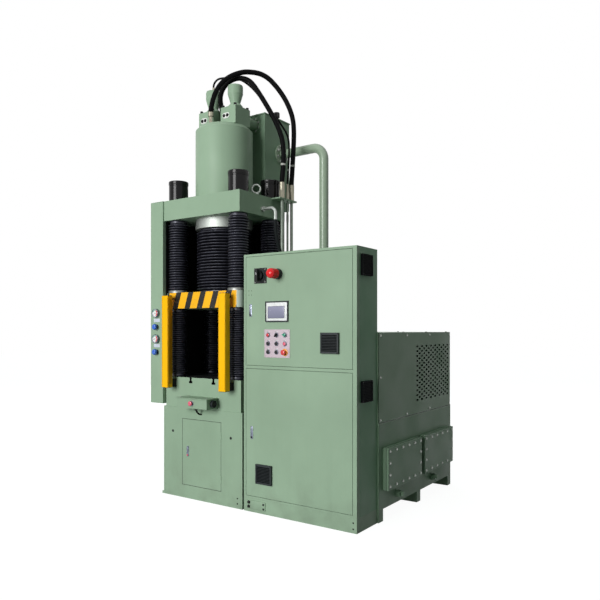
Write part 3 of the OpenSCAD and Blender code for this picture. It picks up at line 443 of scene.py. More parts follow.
@dataclass(frozen=True)
class BellowsCloth(Finish):
    """Rubberised cloth: a fine weave under black rubber, paled on the ridges of the pleats by chalk dust and
    a painted highlight.
    """

    name: str
    ridge: float
    colour: Colour = linear(34, 34, 43)

    def nodes(self, graph: Graph) -> None:
        """Builds the cloth."""
        weave = graph.noise(900.0, 1.0)
        dust = graph.patch(24.0, 5.0, 0.42, 0.72)
        ridge = graph.add("ShaderNodeAttribute", attribute_name="ridge").outputs["Fac"]
        # The ridges are paled towards a bluish grey: chalk dust and a painted highlight.
        chalk_and_highlight = graph.times(graph.times(ridge, dust), self.ridge)
        deep = shaded(self.colour, 0.45)
        tone = graph.mix(graph.patch(7.0, 3.0), deep, self.colour)
        tone = graph.mix(chalk_and_highlight, tone, linear(108, 109, 122))
        graph.set(Base_Color=tone, Specular_IOR_Level=0.5, Specular_Tint=(0.86, 0.88, 1.0))
        graph.set(Roughness=graph.range(dust, 0.0, 1.0, (0.29, 0.44)), Normal=graph.bump(weave, 0.00006))


@dataclass(frozen=True)
class HoseCover(Finish):
    """Wrapped black hose rubber with a faint cloth print."""

    name: str
    colour: Colour = linear(9, 9, 10)

    def nodes(self, graph: Graph) -> None:
        """Builds the rubber."""
        wrap = graph.noise(700.0, 2.0)
        scuff = graph.patch(18.0, 5.0, 0.55, 0.75, (0.0, 0.12))
        tone = graph.mix(scuff, self.colour, linear(34, 34, 34))
        graph.set(Base_Color=tone, Normal=graph.bump(wrap, 0.0003), Specular_IOR_Level=0.04)
        graph.set(Roughness=graph.patch(9.0, 2.0, 0.3, 0.7, (0.45, 0.6)))


@dataclass(frozen=True)
class Moulded(Finish):
    """Moulded plastic with a fine spark-eroded grain and a little handling shine."""

    name: str
    colour: Colour
    rough: float = 0.4
    grain: float = 0.00012
    coat: float = 0.0
    shine: float = 0.5

    def nodes(self, graph: Graph) -> None:
        """Builds the plastic."""
        cloud = graph.patch(25.0, 3.0)
        tone = graph.mix(cloud, shaded(self.colour, 0.85), shaded(self.colour, 1.08))
        graph.set(Base_Color=tone, Coat_Weight=self.coat, Coat_Roughness=0.06, Specular_IOR_Level=self.shine)
        graph.set(Roughness=graph.patch(60.0, 3.0, 0.3, 0.7, (self.rough - 0.06, self.rough + 0.08)))
        graph.set(Normal=graph.bump(graph.noise(1500.0, 1.0), self.grain, graph.rounded(0.001)))


@dataclass(frozen=True)
class ScreenFilm(Finish):
    """A touch screen's lit film: a soft fall of tone and the cells of the display below it."""

    name: str
    top: Colour
    low: Colour
    span: Spot = (1.49, 1.61)

    def nodes(self, graph: Graph) -> None:
        """Builds the film."""
        fall = graph.range(graph.axis("Z"), self.span[0], self.span[1])
        tone = graph.mix(fall, self.low, self.top)
        cells = graph.patch(2200.0, 0.0, 0.3, 0.7, (0.0, 0.10))
        tone = graph.mix(cells, tone, shaded(self.low, 0.7))
        graph.set(Base_Color=tone, Coat_Weight=0.6, Coat_Roughness=0.08)
        graph.set(Roughness=graph.patch(40.0, 2.0, 0.3, 0.7, (0.16, 0.28)))


class Paints:
    """The finishes of the press, by what they are on."""

    GREEN = ShopPaint("sage_green_paint", linear(147, 172, 147))
    # A darker, greener copy of the green paint: painted shade on the cabinet's shell.
    SHELL = ShopPaint("cabinet_shade_green_paint", linear(129, 168, 137))
    # A darker copy of the green paint: painted shade on the prefill tank, the oil tank, its covers, feet and
    # drain plugs.
    TANK = ShopPaint("shaded_green_paint", linear(132, 160, 134))
    VENT = VentPaint("vent_green_paint", GREEN.colour)
    BED = BedPaint("bed_green_paint", GREEN.colour)
    YELLOW = ShopPaint("post_yellow_coat", linear(255, 190, 6), 0.36, 0.15, 0.0, 0.12, 0.0)
    # Black sheet paint for the curtain brackets and the rear guard; on the rear guard the near-black is also
    # painted shade of the die space.
    BLACK = ShopPaint("black_sheet_paint", linear(16, 16, 17), 0.5, 0.1, 0.2)
    GLOSSY = ShopPaint("glossy_pipe_paint", linear(143, 162, 140), 0.28, 0.2, 0.0, 0.4)
    HAZARD = HazardPaint("slide_striped_paint", GREEN.colour, linear(255, 188, 24), linear(24, 23, 22))
    NUTS = BlackOxide("blued_nut_steel")
    STEEL = Machined("bright_turned_steel", linear(160, 165, 160), 0.5)
    FITTING = Machined("hose_fitting_steel", linear(150, 146, 130), 0.36, (4.0, 4.0, 4.0), 0.4, 0.8)
    RING = Machined("clamp_ring_metal", linear(124, 126, 123), 0.4, (1.0, 1.0, 20.0), 0.2, 0.85)
    PIPE = Machined("grey_pipe_steel", linear(130, 140, 128), 0.4, (6.0, 6.0, 0.4), 0.3, 0.35)
    CHROME = Machined("ground_chrome_rod", linear(205, 207, 210), 0.14, (1.0, 1.0, 20.0), 0.12)
    LOCKS = Machined("plated_lock_metal", linear(134, 140, 154), 0.2, (8.0, 8.0, 1.0), 0.1)
    BOLTS = Machined("zinc_bolt_steel", linear(150, 154, 149), 0.4, (3.0, 3.0, 3.0), 0.4)
    ZINC = Machined("zinc_plate_sheet", linear(184, 188, 190), 0.42, (1.0, 6.0, 1.0), 0.35, 0.85)
    PANEL = Machined("button_panel_film", linear(180, 165, 173), 0.42, (1.0, 1.0, 22.0), 0.1, 0.45)
    CLOTH = BellowsCloth("bellows_rubber_cloth", 0.3)
    HOSE = HoseCover("hose_cover_rubber")
    GREY_HOSE = HoseCover("drain_hose_cover", linear(30, 33, 34))
    SLATE = Moulded("slate_plastic", linear(36, 42, 44), 0.45, shine=0.25)
    # A darker copy of the slate plastic: on the side grilles and filters it is painted shade of the cabinet's
    # side; it also colours the slats of every grille.
    FILTER = Moulded("filter_plastic", linear(15, 17, 18), 0.6, shine=0.02)
    DARK = Moulded("black_plastic", linear(18, 19, 20), 0.4, shine=0.22)
    SEAL = Moulded("seal_rubber", linear(40, 46, 42), 0.6, 0.0003)
    RED = Moulded("red_knob_plastic", linear(214, 36, 44), 0.25, 0.00004, 0.4)
    LENS = Moulded("red_lens_plastic", linear(228, 8, 20), 0.18, 0.00002, 0.08, 0.3)
    ROSE = Moulded("rose_button_plastic", linear(228, 84, 112), 0.3, 0.00004, 0.3)
    AMBER = Moulded("yellow_ring_plastic", linear(246, 160, 40), 0.35)
    LEAF = Moulded("green_button_plastic", linear(24, 158, 120), 0.3, 0.00004, 0.3)
    BLUE = Moulded("blue_knob_plastic", linear(28, 100, 205), 0.28, 0.00005, 0.3)
    WHITE = Moulded("white_dial_enamel", linear(236, 238, 238), 0.3, 0.00003, 0.3)
    TAPE = Moulded("white_hose_tape", linear(176, 177, 171), 0.55, shine=0.2)
    FILM = Moulded("post_amber_film", linear(196, 136, 6), 0.3, shine=0.15)
    LABEL = Moulded("blank_label_film", linear(206, 214, 226), 0.4, shine=0.3)
    ENAMEL = Moulded("white_port_enamel", linear(232, 234, 230), 0.4, shine=0.3)
    SCREEN = ScreenFilm("screen_lavender_film", linear(150, 150, 176), linear(112, 114, 140))


class Bench:
    """A bench of Blender's own operators. Pieces are modelled flat at the origin, then seated."""

    @staticmethod
    def hold(piece: bpy.types.Object, *others: bpy.types.Object) -> None:
        """Selects these pieces alone and makes the first one active."""
        bpy.ops.object.select_all(action="DESELECT")
        for each in (piece, *others):
            each.select_set(True)
        bpy.context.view_layer.objects.active = piece

    @staticmethod
    def started(name: str) -> bpy.types.Object:
        """Names the primitive just added and fixes its place in its mesh."""
        piece = bpy.context.active_object
        piece.name = piece.data.name = name
        bpy.ops.object.transform_apply(location=True, rotation=True, scale=True)
        return piece

    @staticmethod
    def choose(piece: bpy.types.Object, wanted: Callable[..., bool], by_vertex: bool = False) -> None:
        """Selects in edit mode the faces, or the vertices, that pass a test."""
        bpy.ops.mesh.select_mode(type="VERT" if by_vertex else "FACE")
        bpy.ops.mesh.select_all(action="DESELECT")
        mesh = bmesh.from_edit_mesh(piece.data)
        for each in mesh.verts if by_vertex else mesh.faces:
            each.select_set(wanted(each))
        mesh.select_flush_mode()
        bmesh.update_edit_mesh(piece.data)

    @classmethod
    def slab(cls, name: str, size: Point, soft: float = 0.0015, cuts: int = 2) -> bpy.types.Object:
        """Makes a block that stands on its face, with broken edges.

        Args:
            name: The piece's name.
            size: Width, height and how far it stands out, in metres.
            soft: How far the edges are broken.
            cuts: Segments of the broken edges.

        Returns:
            The piece.
        """
        bpy.ops.object.select_all(action="DESELECT")
        bpy.ops.mesh.primitive_cube_add(size=1, location=(0, 0, size[2] / 2))
        bpy.context.active_object.scale = size
        piece = cls.started(name)
        bpy.ops.object.mode_set(mode="EDIT")
        bpy.ops.mesh.select_all(action="SELECT")
        bpy.ops.mesh.bevel(offset=min(soft, min(size) * 0.4), segments=cuts, affect="EDGES")
        bpy.ops.object.mode_set(mode="OBJECT")
        return piece

    @classmethod
    def turned(cls, name: str, profile: Profile, sides: int = 32, ring: bool = False) -> bpy.types.Object:
        """Makes a turned piece: a circle that is extruded and resized along a profile.

        Args:
            name: The piece's name.
            profile: Radius and height of each step, in metres.
            sides: Sides of the circle.
            ring: Whether the profile closes on itself, round an open middle.

        Returns:
            The piece.
        """
        radius, height = profile[0]
        kind = "NOTHING" if ring else "NGON"
        bpy.ops.object.select_all(action="DESELECT")
        bpy.ops.mesh.primitive_circle_add(
            vertices=sides, radius=radius, fill_type=kind, location=(0, 0, height))
        piece = cls.started(name)
        bpy.ops.object.mode_set(mode="EDIT")
        bpy.ops.mesh.select_mode(type="EDGE" if ring else "FACE")
        bpy.ops.mesh.select_all(action="SELECT")
        for wide, high in [*profile[1:], *([profile[0]] if ring else [])]:
            cls.raised(high - height)
            if abs(wide - radius) > 1e-7:
                cls.widened(wide / radius, high)
            radius, height = wide, high
        cls.closed()
        return piece

    @staticmethod
    def closed() -> None:
        """Merges doubles, turns the faces outwards and leaves edit mode."""
        bpy.ops.mesh.select_all(action="SELECT")
        bpy.ops.mesh.remove_doubles(threshold=1e-6)
        bpy.ops.mesh.normals_make_consistent(inside=False)
        bpy.ops.object.mode_set(mode="OBJECT")

    @staticmethod
    def raised(high: float) -> None:
        """Extrudes what is selected straight up."""
        bpy.ops.mesh.extrude_region_move(TRANSFORM_OT_translate={"value": (0, 0, high)})

    @staticmethod
    def widened(share: float, high: float = 0.0) -> None:
        """Resizes what is selected about the upright axis, at a height."""
        bpy.ops.transform.resize(value=(share, share, 1), center_override=(0, 0, high))

    @classmethod
    def sheet(cls, name: str, size: Point) -> bpy.types.Object:
        """Starts a flat piece in edit mode: a plane of that width and height, selected."""
        bpy.ops.object.select_all(action="DESELECT")
        bpy.ops.mesh.primitive_plane_add(size=1)
        bpy.context.active_object.scale = (size[0], size[1], 1)
        piece = cls.started(name)
        bpy.ops.object.mode_set(mode="EDIT")
        bpy.ops.mesh.select_all(action="SELECT")
        return piece

    @classmethod
    def plate(cls, name: str, size: Point, corner: float, soft: float = 0.0006) -> bpy.types.Object:
        """Makes a plate with rounded corners and a broken front edge."""
        piece = cls.sheet(name, size)
        bpy.ops.mesh.bevel(offset=corner, segments=5, affect="VERTICES")
        cls.raised(size[2])
        cls.choose(piece, lambda face: face.calc_center_median().z > size[2] * 0.99)
        bpy.ops.mesh.bevel(offset=soft, segments=2, affect="EDGES")
        cls.closed()
        return piece

    @classmethod
    def border(cls, name: str, size: Point, rim: float) -> bpy.types.Object:
        """Makes a flat border: a plane that is inset, opened and given its thickness."""
        piece = cls.sheet(name, size)
        bpy.ops.mesh.inset(thickness=rim, depth=0)
        bpy.ops.mesh.delete(type="FACE")
        bpy.ops.mesh.select_all(action="SELECT")
        cls.raised(size[2])
        cls.closed()
        return piece

    @classmethod
    def arc(cls, name: str, inner: float, outer: float, span: Spot, thick: float) -> bpy.types.Object:
        """Makes a flat arc between two angles in degrees, from a part of a circle."""
        bpy.ops.object.select_all(action="DESELECT")
        bpy.ops.mesh.primitive_circle_add(vertices=120, radius=inner, fill_type="NOTHING")
        piece = cls.started(name)

        def outside(vert: bmesh.types.BMVert) -> bool:
            """Tells whether a vertex lies outside the span."""
            angle = math.degrees(math.atan2(vert.co.y, vert.co.x))
            return not any(span[0] <= angle + turn <= span[1] for turn in (-360, 0, 360))

        bpy.ops.object.mode_set(mode="EDIT")
        cls.choose(piece, outside, True)
        bpy.ops.mesh.delete(type="VERT")
        bpy.ops.mesh.select_mode(type="EDGE")
        bpy.ops.mesh.select_all(action="SELECT")
        bpy.ops.mesh.extrude_region_move()
        cls.widened(outer / inner)
        bpy.ops.mesh.select_mode(type="FACE")
        bpy.ops.mesh.select_all(action="SELECT")
        cls.raised(thick)
        cls.closed()
        return piece

    @classmethod
    def seated(cls, piece: bpy.types.Object, seat: Matrix) -> bpy.types.Object:
        """Brings a piece to its seat and fixes the place in its mesh."""
        cls.hold(piece)
        piece.matrix_world = seat
        bpy.ops.object.transform_apply(location=True, rotation=True, scale=True)
        return piece

    @classmethod
    def spread(cls, piece: bpy.types.Object, seats: Iterable[Matrix]) -> bpy.types.Object:
        """Copies a piece to each seat, each copy with its own mesh, and joins the copies.

        Args:
            piece: The piece that repeats; it is used up.
            seats: The placing of each copy.

        Returns:
            One piece with all the copies, under the old name.
        """
        name, copies = piece.name, []
        for seat in seats:
            copy = piece.copy()
            copy.data = piece.data.copy()
            bpy.context.scene.collection.objects.link(copy)
            copy.matrix_world = seat
            copies.append(copy)
        bpy.data.objects.remove(piece)
        cls.hold(*copies)
        bpy.ops.object.transform_apply(location=True, rotation=True, scale=True)
        bpy.ops.object.join()
        joined = bpy.context.active_object
        joined.name = joined.data.name = name
        return joined

    @classmethod
    def merged(cls, first: bpy.types.Object, *others: bpy.types.Object) -> bpy.types.Object:
        """Joins pieces into the first one."""
        cls.hold(first, *others)
        bpy.ops.object.join()
        return first

    @classmethod
    def fit(
        cls,
        piece: bpy.types.Object,
        seats: Matrix | Iterable[Matrix],
        finish: Finish,
        slot: str,
        body: Body = Body.FRAME,
        sharp: float = 35.0,
    ) -> bpy.types.Object:
        """Brings a modelled piece to its seat, or copies of it to several, and dresses it.

        Args:
            piece: The piece, flat at the origin.
            seats: Its placing, or the placing of each copy.
            finish: What it is finished in.
            slot: Not used.
            body: The body that it rides on.
            sharp: Edges above this angle in degrees stay sharp.

        Returns:
            The piece.
        """
        piece = cls.seated(piece, seats) if isinstance(seats, Matrix) else cls.spread(piece, seats)
        cls.hold(piece)
        bpy.ops.object.shade_smooth_by_angle(angle=math.radians(sharp))
        finish.on(piece)
        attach(piece, body.value)
        LOG.info("%s: %d faces on %s", piece.name, len(piece.data.polygons), body.value)
        return piece


@dataclass(frozen=True)
class Lamp:
    """A square soft box that looks at the press, with or without a reflection of its own."""

    name: str
    place: Point
    size: float
    power: float
    shown: bool = True

    def hang(self, target: Point) -> None:
        """Hangs the lamp so that it looks at the target and stays out of the view."""
        light = bpy.data.lights.new(self.name, "AREA")
        light.size, light.energy = self.size, self.power
        lamp = bpy.data.objects.new(self.name, light)
        lamp.location = self.place
        lamp.visible_camera, lamp.visible_glossy = False, self.shown
        lamp.rotation_euler = (Vector(target) - Vector(self.place)).to_track_quat("-Z", "Y").to_euler()
        bpy.context.scene.collection.objects.link(lamp)


@dataclass
class Studio:
    """The camera of the view, a pale floor, soft light from the front and above, and a lamp behind."""

    eye: Point = (3.5898, -4.0468, 1.4172)
    turn: float = 34.64
    lens: float = 37.32
    rise: float = 0.0489
    target: Point = (0.45, -0.1, 1.55)
    sensor: float = 36.0
    floor_size: float = 60.0
    floor_tones: tuple[Colour, Colour] = ((0.095, 0.125, 0.11), (0.11, 0.14, 0.125))
    floor_glow: float = 0.955
    sky_tone: Colour = (0.68, 1.0, 0.84)
    sky_power: float = 0.045
    lamps: Sequence[Lamp] = (
        Lamp("key", (-0.6, -12.0, 3.6), 6.0, 1460.0),
        Lamp("top", (0.6, -0.6, 7.4), 4.5, 60.0),
        Lamp("right", (2.9, -0.5, 5.0), 1.8, 15.0),
        Lamp("rear", (-6.6, 8.2, 3.2), 5.0, 640.0, False),
    )

    def build(self) -> None:
        """Sets the camera, the floor, the lamps and the sky."""
        scene = bpy.context.scene
        scene.view_settings.view_transform = "Standard"
        view = bpy.data.cameras.new("view")
        view.lens, view.sensor_width, view.shift_y = self.lens, self.sensor, self.rise
        camera = bpy.data.objects.new("view", view)
        camera.location = self.eye
        camera.rotation_euler = (math.radians(90), 0, math.radians(self.turn))
        scene.collection.objects.link(camera)
        scene.camera = camera
        self.floor()
        self.sky()
        for lamp in self.lamps:
            lamp.hang(self.target)

    def floor(self) -> None:
        """Lays the pale floor, which keeps the shadow and shows white to the camera."""
        bpy.ops.object.select_all(action="DESELECT")
        bpy.ops.mesh.primitive_plane_add(size=self.floor_size)
        floor = Bench.started("floor")
        graph = Graph("pale_floor")
        tone = graph.mix(graph.patch(0.8, 3.0), *self.floor_tones)
        graph.set(Base_Color=tone, Roughness=0.9, Specular_IOR_Level=0.1)
        graph.set(Emission_Color=WHITE, Emission_Strength=self.seen(graph, self.floor_glow))
        floor.data.materials.append(graph.material)

    @staticmethod
    def seen(graph: Graph, strength: float) -> bpy.types.NodeSocket:
        """Gives a strength for camera, glossy and clear rays, and none for the rest."""
        path = graph.add("ShaderNodeLightPath").outputs
        rays = graph.math("MAXIMUM", path["Is Camera Ray"], path["Is Glossy Ray"])
        rays = graph.math("MAXIMUM", rays, path["Is Transmission Ray"])
        return graph.times(rays, strength)

    def sky(self) -> None:
        """Lights the room evenly and shows white behind the press."""
        world = bpy.data.worlds.new("room")
        bpy.context.scene.world = world
        world.use_nodes = True
        nodes, links = world.node_tree.nodes, world.node_tree.links
        nodes.clear()
        path = nodes.new("ShaderNodeLightPath").outputs
        rays = path["Is Camera Ray"]
        for kind in ("Is Transmission Ray", "Is Glossy Ray"):
            either = nodes.new("ShaderNodeMath")
            either.operation = "MAXIMUM"
            links.new(rays, either.inputs[0])
            links.new(path[kind], either.inputs[1])
            rays = either.outputs[0]
        mixed = nodes.new("ShaderNodeMixShader")
        links.new(rays, mixed.inputs[0])
        for index, tone, power in ((1, self.sky_tone, self.sky_power), (2, WHITE, 1.0)):
            light = nodes.new("ShaderNodeBackground")
            light.inputs["Color"].default_value = (*tone, 1.0)
            light.inputs["Strength"].default_value = power
            links.new(light.outputs[0], mixed.inputs[index])
        output = nodes.new("ShaderNodeOutputWorld")
        links.new(mixed.outputs[0], output.inputs["Surface"])


@dataclass
class HoseRun:
    """One hose between two fittings, in an upright plane, with shares of its way and of its climb."""

    name: str
    start: Point
    end: Point
    crest: float
    rise: Sequence[Spot]
    fall: Sequence[Spot]
    bore: float
    finish: Finish
    bands: Sequence[float] = ()

    def route(self) -> list[Vector]:
        """Gives the points that the hose follows, in metres."""
        start, end = Vector(self.start), Vector(self.end)
        points = []
        for base, shares in ((start.z, self.rise), (end.z, self.fall)):
            for along, up in shares:
                plan = start.lerp(end, along)
                points.append(Vector((plan.x, plan.y, base + (self.crest - base) * up)))
        return points

    def bend(self, points: list[Vector]) -> bpy.types.Curve:
        """Bends a round curve through the points, upright at both its ends."""
        curve = bpy.data.curves.new(self.name + "_bend", "CURVE")
        curve.dimensions = "3D"
        curve.bevel_depth = self.bore / 2
        curve.bevel_resolution = 6
        curve.resolution_u = 10
        curve.use_fill_caps = True
        knots = curve.splines.new("BEZIER").bezier_points
        knots.add(len(points) - 1)
        for knot, point in zip(knots, points):
            knot.co = point
            knot.handle_left_type = knot.handle_right_type = "AUTO"
        for knot, other, way in ((knots[0], points[1], 1), (knots[-1], points[-2], -1)):
            knot.handle_left_type = knot.handle_right_type = "FREE"
            lead = Vector((0, 0, way * (other.z - knot.co.z) / 3))
            knot.handle_right = knot.co + lead
            knot.handle_left = knot.co - lead
        return curve

    def build(self) -> bpy.types.Object:
        """Makes the hose on its route and ties its pale bands.

        Returns:
            The hose.
        """
        points = self.route()
        hose = bpy.data.objects.new(self.name + "_bend", self.bend(points))
        bpy.context.scene.collection.objects.link(hose)
        self.finish.on(hose)
        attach(hose, Body.FRAME.value)
        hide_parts(self.name)
        length = sum((b - a).length for a, b in zip(points, points[1:]))
        bands = [self.band(points, share, index) for index, share in enumerate(self.bands)]
        LOG.info("%s: %.2f m of hose", self.name, length)
        return hose

    def band(self, points: list[Vector], share: float, index: int) -> bpy.types.Object:
        """Ties a band of pale tape round the hose at a share of its points."""
        spot = share * (len(points) - 1)
        at = min(int(spot), len(points) - 2)
        heading = (points[at + 1] - points[at]).normalized()
        middle = points[at].lerp(points[at + 1], spot - at)
        inner, wide, half = self.bore / 2 - 0.002, self.bore / 2 + 0.0012, 0.008
        profile = [(wide - 0.001, -half), (wide, -half + 0.001), (wide, half - 0.001), (wide - 0.001, half),
                   (inner, half), (inner, -half)]
        tape = Bench.turned(f"{self.name}_tape_{index}", profile, 24, True)
        seat = Matrix.Translation(middle) @ heading.to_track_quat("Z", "Y").to_matrix().to_4x4()
        return Bench.fit(tape, seat, Paints.TAPE, "hose_rubber")


@dataclass
class Bellows:
    """Pleated bellows of one height round columns or the ram."""

    name: str
    fixed: float
    moving: float
    outer: float
    deep: float
    pleats: int
    spots: Sequence[Spot]
    sides: int = 40
    cuff: float = 0.03
    slope_share: float = 0.22
    sleeve_share: float = 0.35
    sharp: float = 75.0

    def pleated(self, low: float, top: float) -> bpy.types.Object:
        """Models one pleat and stacks it between the cuffs."""
        pitch = (top - low - 2 * self.cuff) / self.pleats
        valley, ridge = self.outer - self.deep, self.outer
        slope = ridge - self.deep * self.slope_share
        shape = [(valley, 0.0), (slope, 0.30), (ridge, 0.43), (ridge, 0.57), (slope, 0.70), (valley, 1.0)]
        bpy.ops.object.select_all(action="DESELECT")
        bpy.ops.mesh.primitive_circle_add(vertices=self.sides, radius=valley, fill_type="NOTHING")
        pleat = Bench.started(self.name + "_pleats")
        bpy.ops.object.mode_set(mode="EDIT")
        bpy.ops.mesh.select_mode(type="EDGE")
        bpy.ops.mesh.select_all(action="SELECT")
        for (wide, high), (next_wide, next_high) in zip(shape, shape[1:]):
            Bench.raised((next_high - high) * pitch)
            Bench.widened(next_wide / wide, next_high * pitch)
        Bench.closed()
        stack = pleat.modifiers.new("stack", "ARRAY")
        stack.count, stack.use_relative_offset, stack.use_constant_offset = self.pleats, False, True
        stack.constant_offset_displace = (0, 0, pitch)
        stack.use_merge_vertices, stack.merge_threshold = True, 1e-5
        bpy.ops.object.modifier_apply(modifier=stack.name)
        return Bench.seated(pleat, Matrix.Translation((0, 0, low + self.cuff)))

    def cuffed(self, pleats: bpy.types.Object, low: float, top: float) -> bpy.types.Object:
        """Adds the cuffs at both ends of the pleats."""
        valley, lip = self.outer - self.deep, self.cuff
        sleeve = valley + self.deep * self.sleeve_share
        collar = [(valley, 0), (sleeve, 0), (sleeve + 0.002, 0.003), (sleeve + 0.002, lip - 0.006),
                  (sleeve, lip - 0.002), (valley, lip)]
        cuffs = Bench.turned("cuff", collar, self.sides, True)
        flip = Matrix.Translation((0, 0, top)) @ Matrix.Rotation(math.pi, 4, "X")
        cuffs = Bench.spread(cuffs, [Matrix.Translation((0, 0, low)), flip])
        whole = Bench.merged(pleats, cuffs)
        bpy.ops.object.mode_set(mode="EDIT")
        Bench.closed()
        return whole

    def mark_ridges(self, piece: bpy.types.Object) -> None:
        """Marks how near each vertex is to the ridges, for the chalk dust and painted highlight of the cloth.
        """
        half = self.deep * 0.5
        mark = piece.data.attributes.new("ridge", "FLOAT", "POINT")
        for vert, value in zip(piece.data.vertices, mark.data):
            out = math.hypot(vert.co.x, vert.co.y)
            value.value = max(0.0, min(1.0, (out - self.outer + half) / half))

    def build(self) -> bpy.types.Object:
        """Models one of the bellows and hangs its copies between frame and slide.

        Returns:
            The bellows, as one piece.
        """
        low, top = min(self.fixed, self.moving), max(self.fixed, self.moving)
        piece = self.cuffed(self.pleated(low, top), low, top)
        self.mark_ridges(piece)
        piece = Bench.spread(piece, [Matrix.Translation((x, y, 0)) for x, y in self.spots])
        bpy.ops.object.shade_smooth_by_angle(angle=math.radians(self.sharp))
        Paints.CLOTH.on(piece)
        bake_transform(piece)
        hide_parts(self.name)
        LOG.info("%s: %d faces between frame and slide", piece.name, len(piece.data.polygons))
        return piece


@dataclass
class Bolts:
    """Hexagon bolts with washers, or round sunk-head screws, in one size."""

    name: str
    across: float
    head: float
    finish: Finish = Paints.BOLTS
    sunk: bool = False

    def build(self, seats: Iterable[Matrix], body: Body = Body.FRAME, slot: str = "bright_steel") -> None:
        """Models one bolt and copies it to its seats.

        Args:
            seats: The placing of each bolt on its face.
            body: The body that the bolts ride on.
            slot: Not used; it is passed on to Bench.fit, which does not read it.
        """
        r, h = self.across / 2 / math.cos(math.pi / 6), self.head
        if self.sunk:
            profile = [(r, 0), (r, h * 0.86), (r * 0.9, h), (r * 0.52, h), (r * 0.48, h * 0.42)]
            bolt = Bench.turned(self.name, profile, 16)
        else:
            foot = [(r * 1.28, 0), (r * 1.3, h * 0.06), (r * 1.3, h * 0.2), (r * 1.24, h * 0.26)]
            washer = Bench.turned(self.name + "_washer", foot, 18)
            bolt = Bench.turned(self.name, [(r, h * 0.2), (r, h * 0.86), (r * 0.86, h), (r * 0.3, h)], HEX)
            bolt = Bench.merged(bolt, washer)
        Bench.fit(bolt, seats, self.finish, slot, body, 30)


def corners(x: float, y: float) -> list[Spot]:
    """Lists the corners of a rectangle round the middle, from its half sizes."""
    return [(i * x, j * y) for i in (-1, 1) for j in (-1, 1)]


def rim_spots(low: Spot, high: Spot, inset: float, across: int, up: int) -> list[Spot]:
    """Lists even places inside the rim of a rectangle, corners among them."""
    (left, foot), (right, head) = ((c + inset for c in low), (c - inset for c in high))
    xs = [left + (right - left) * i / (across - 1) for i in range(across)]
    ys = [foot + (head - foot) * i / (up - 1) for i in range(up)]
    rows = [(x, y) for y in (foot, head) for x in xs]
    return rows + [(x, y) for x in (left, right) for y in ys[1:-1]]


def round_spots(radius: float, count: int, first: float) -> list[Spot]:
    """Lists even places on a circle, from a first angle."""
    turns = [first + math.tau * i / count for i in range(count)]
    return [(radius * math.cos(t), radius * math.sin(t)) for t in turns]


def shifted(seats: Iterable[Matrix], spots: Iterable[Spot], out: float = 0.0) -> list[Matrix]:
    """Moves each seat to each of the spots on its own face."""
    return [seat @ Matrix.Translation((x, y, out)) for seat in seats for x, y in spots]


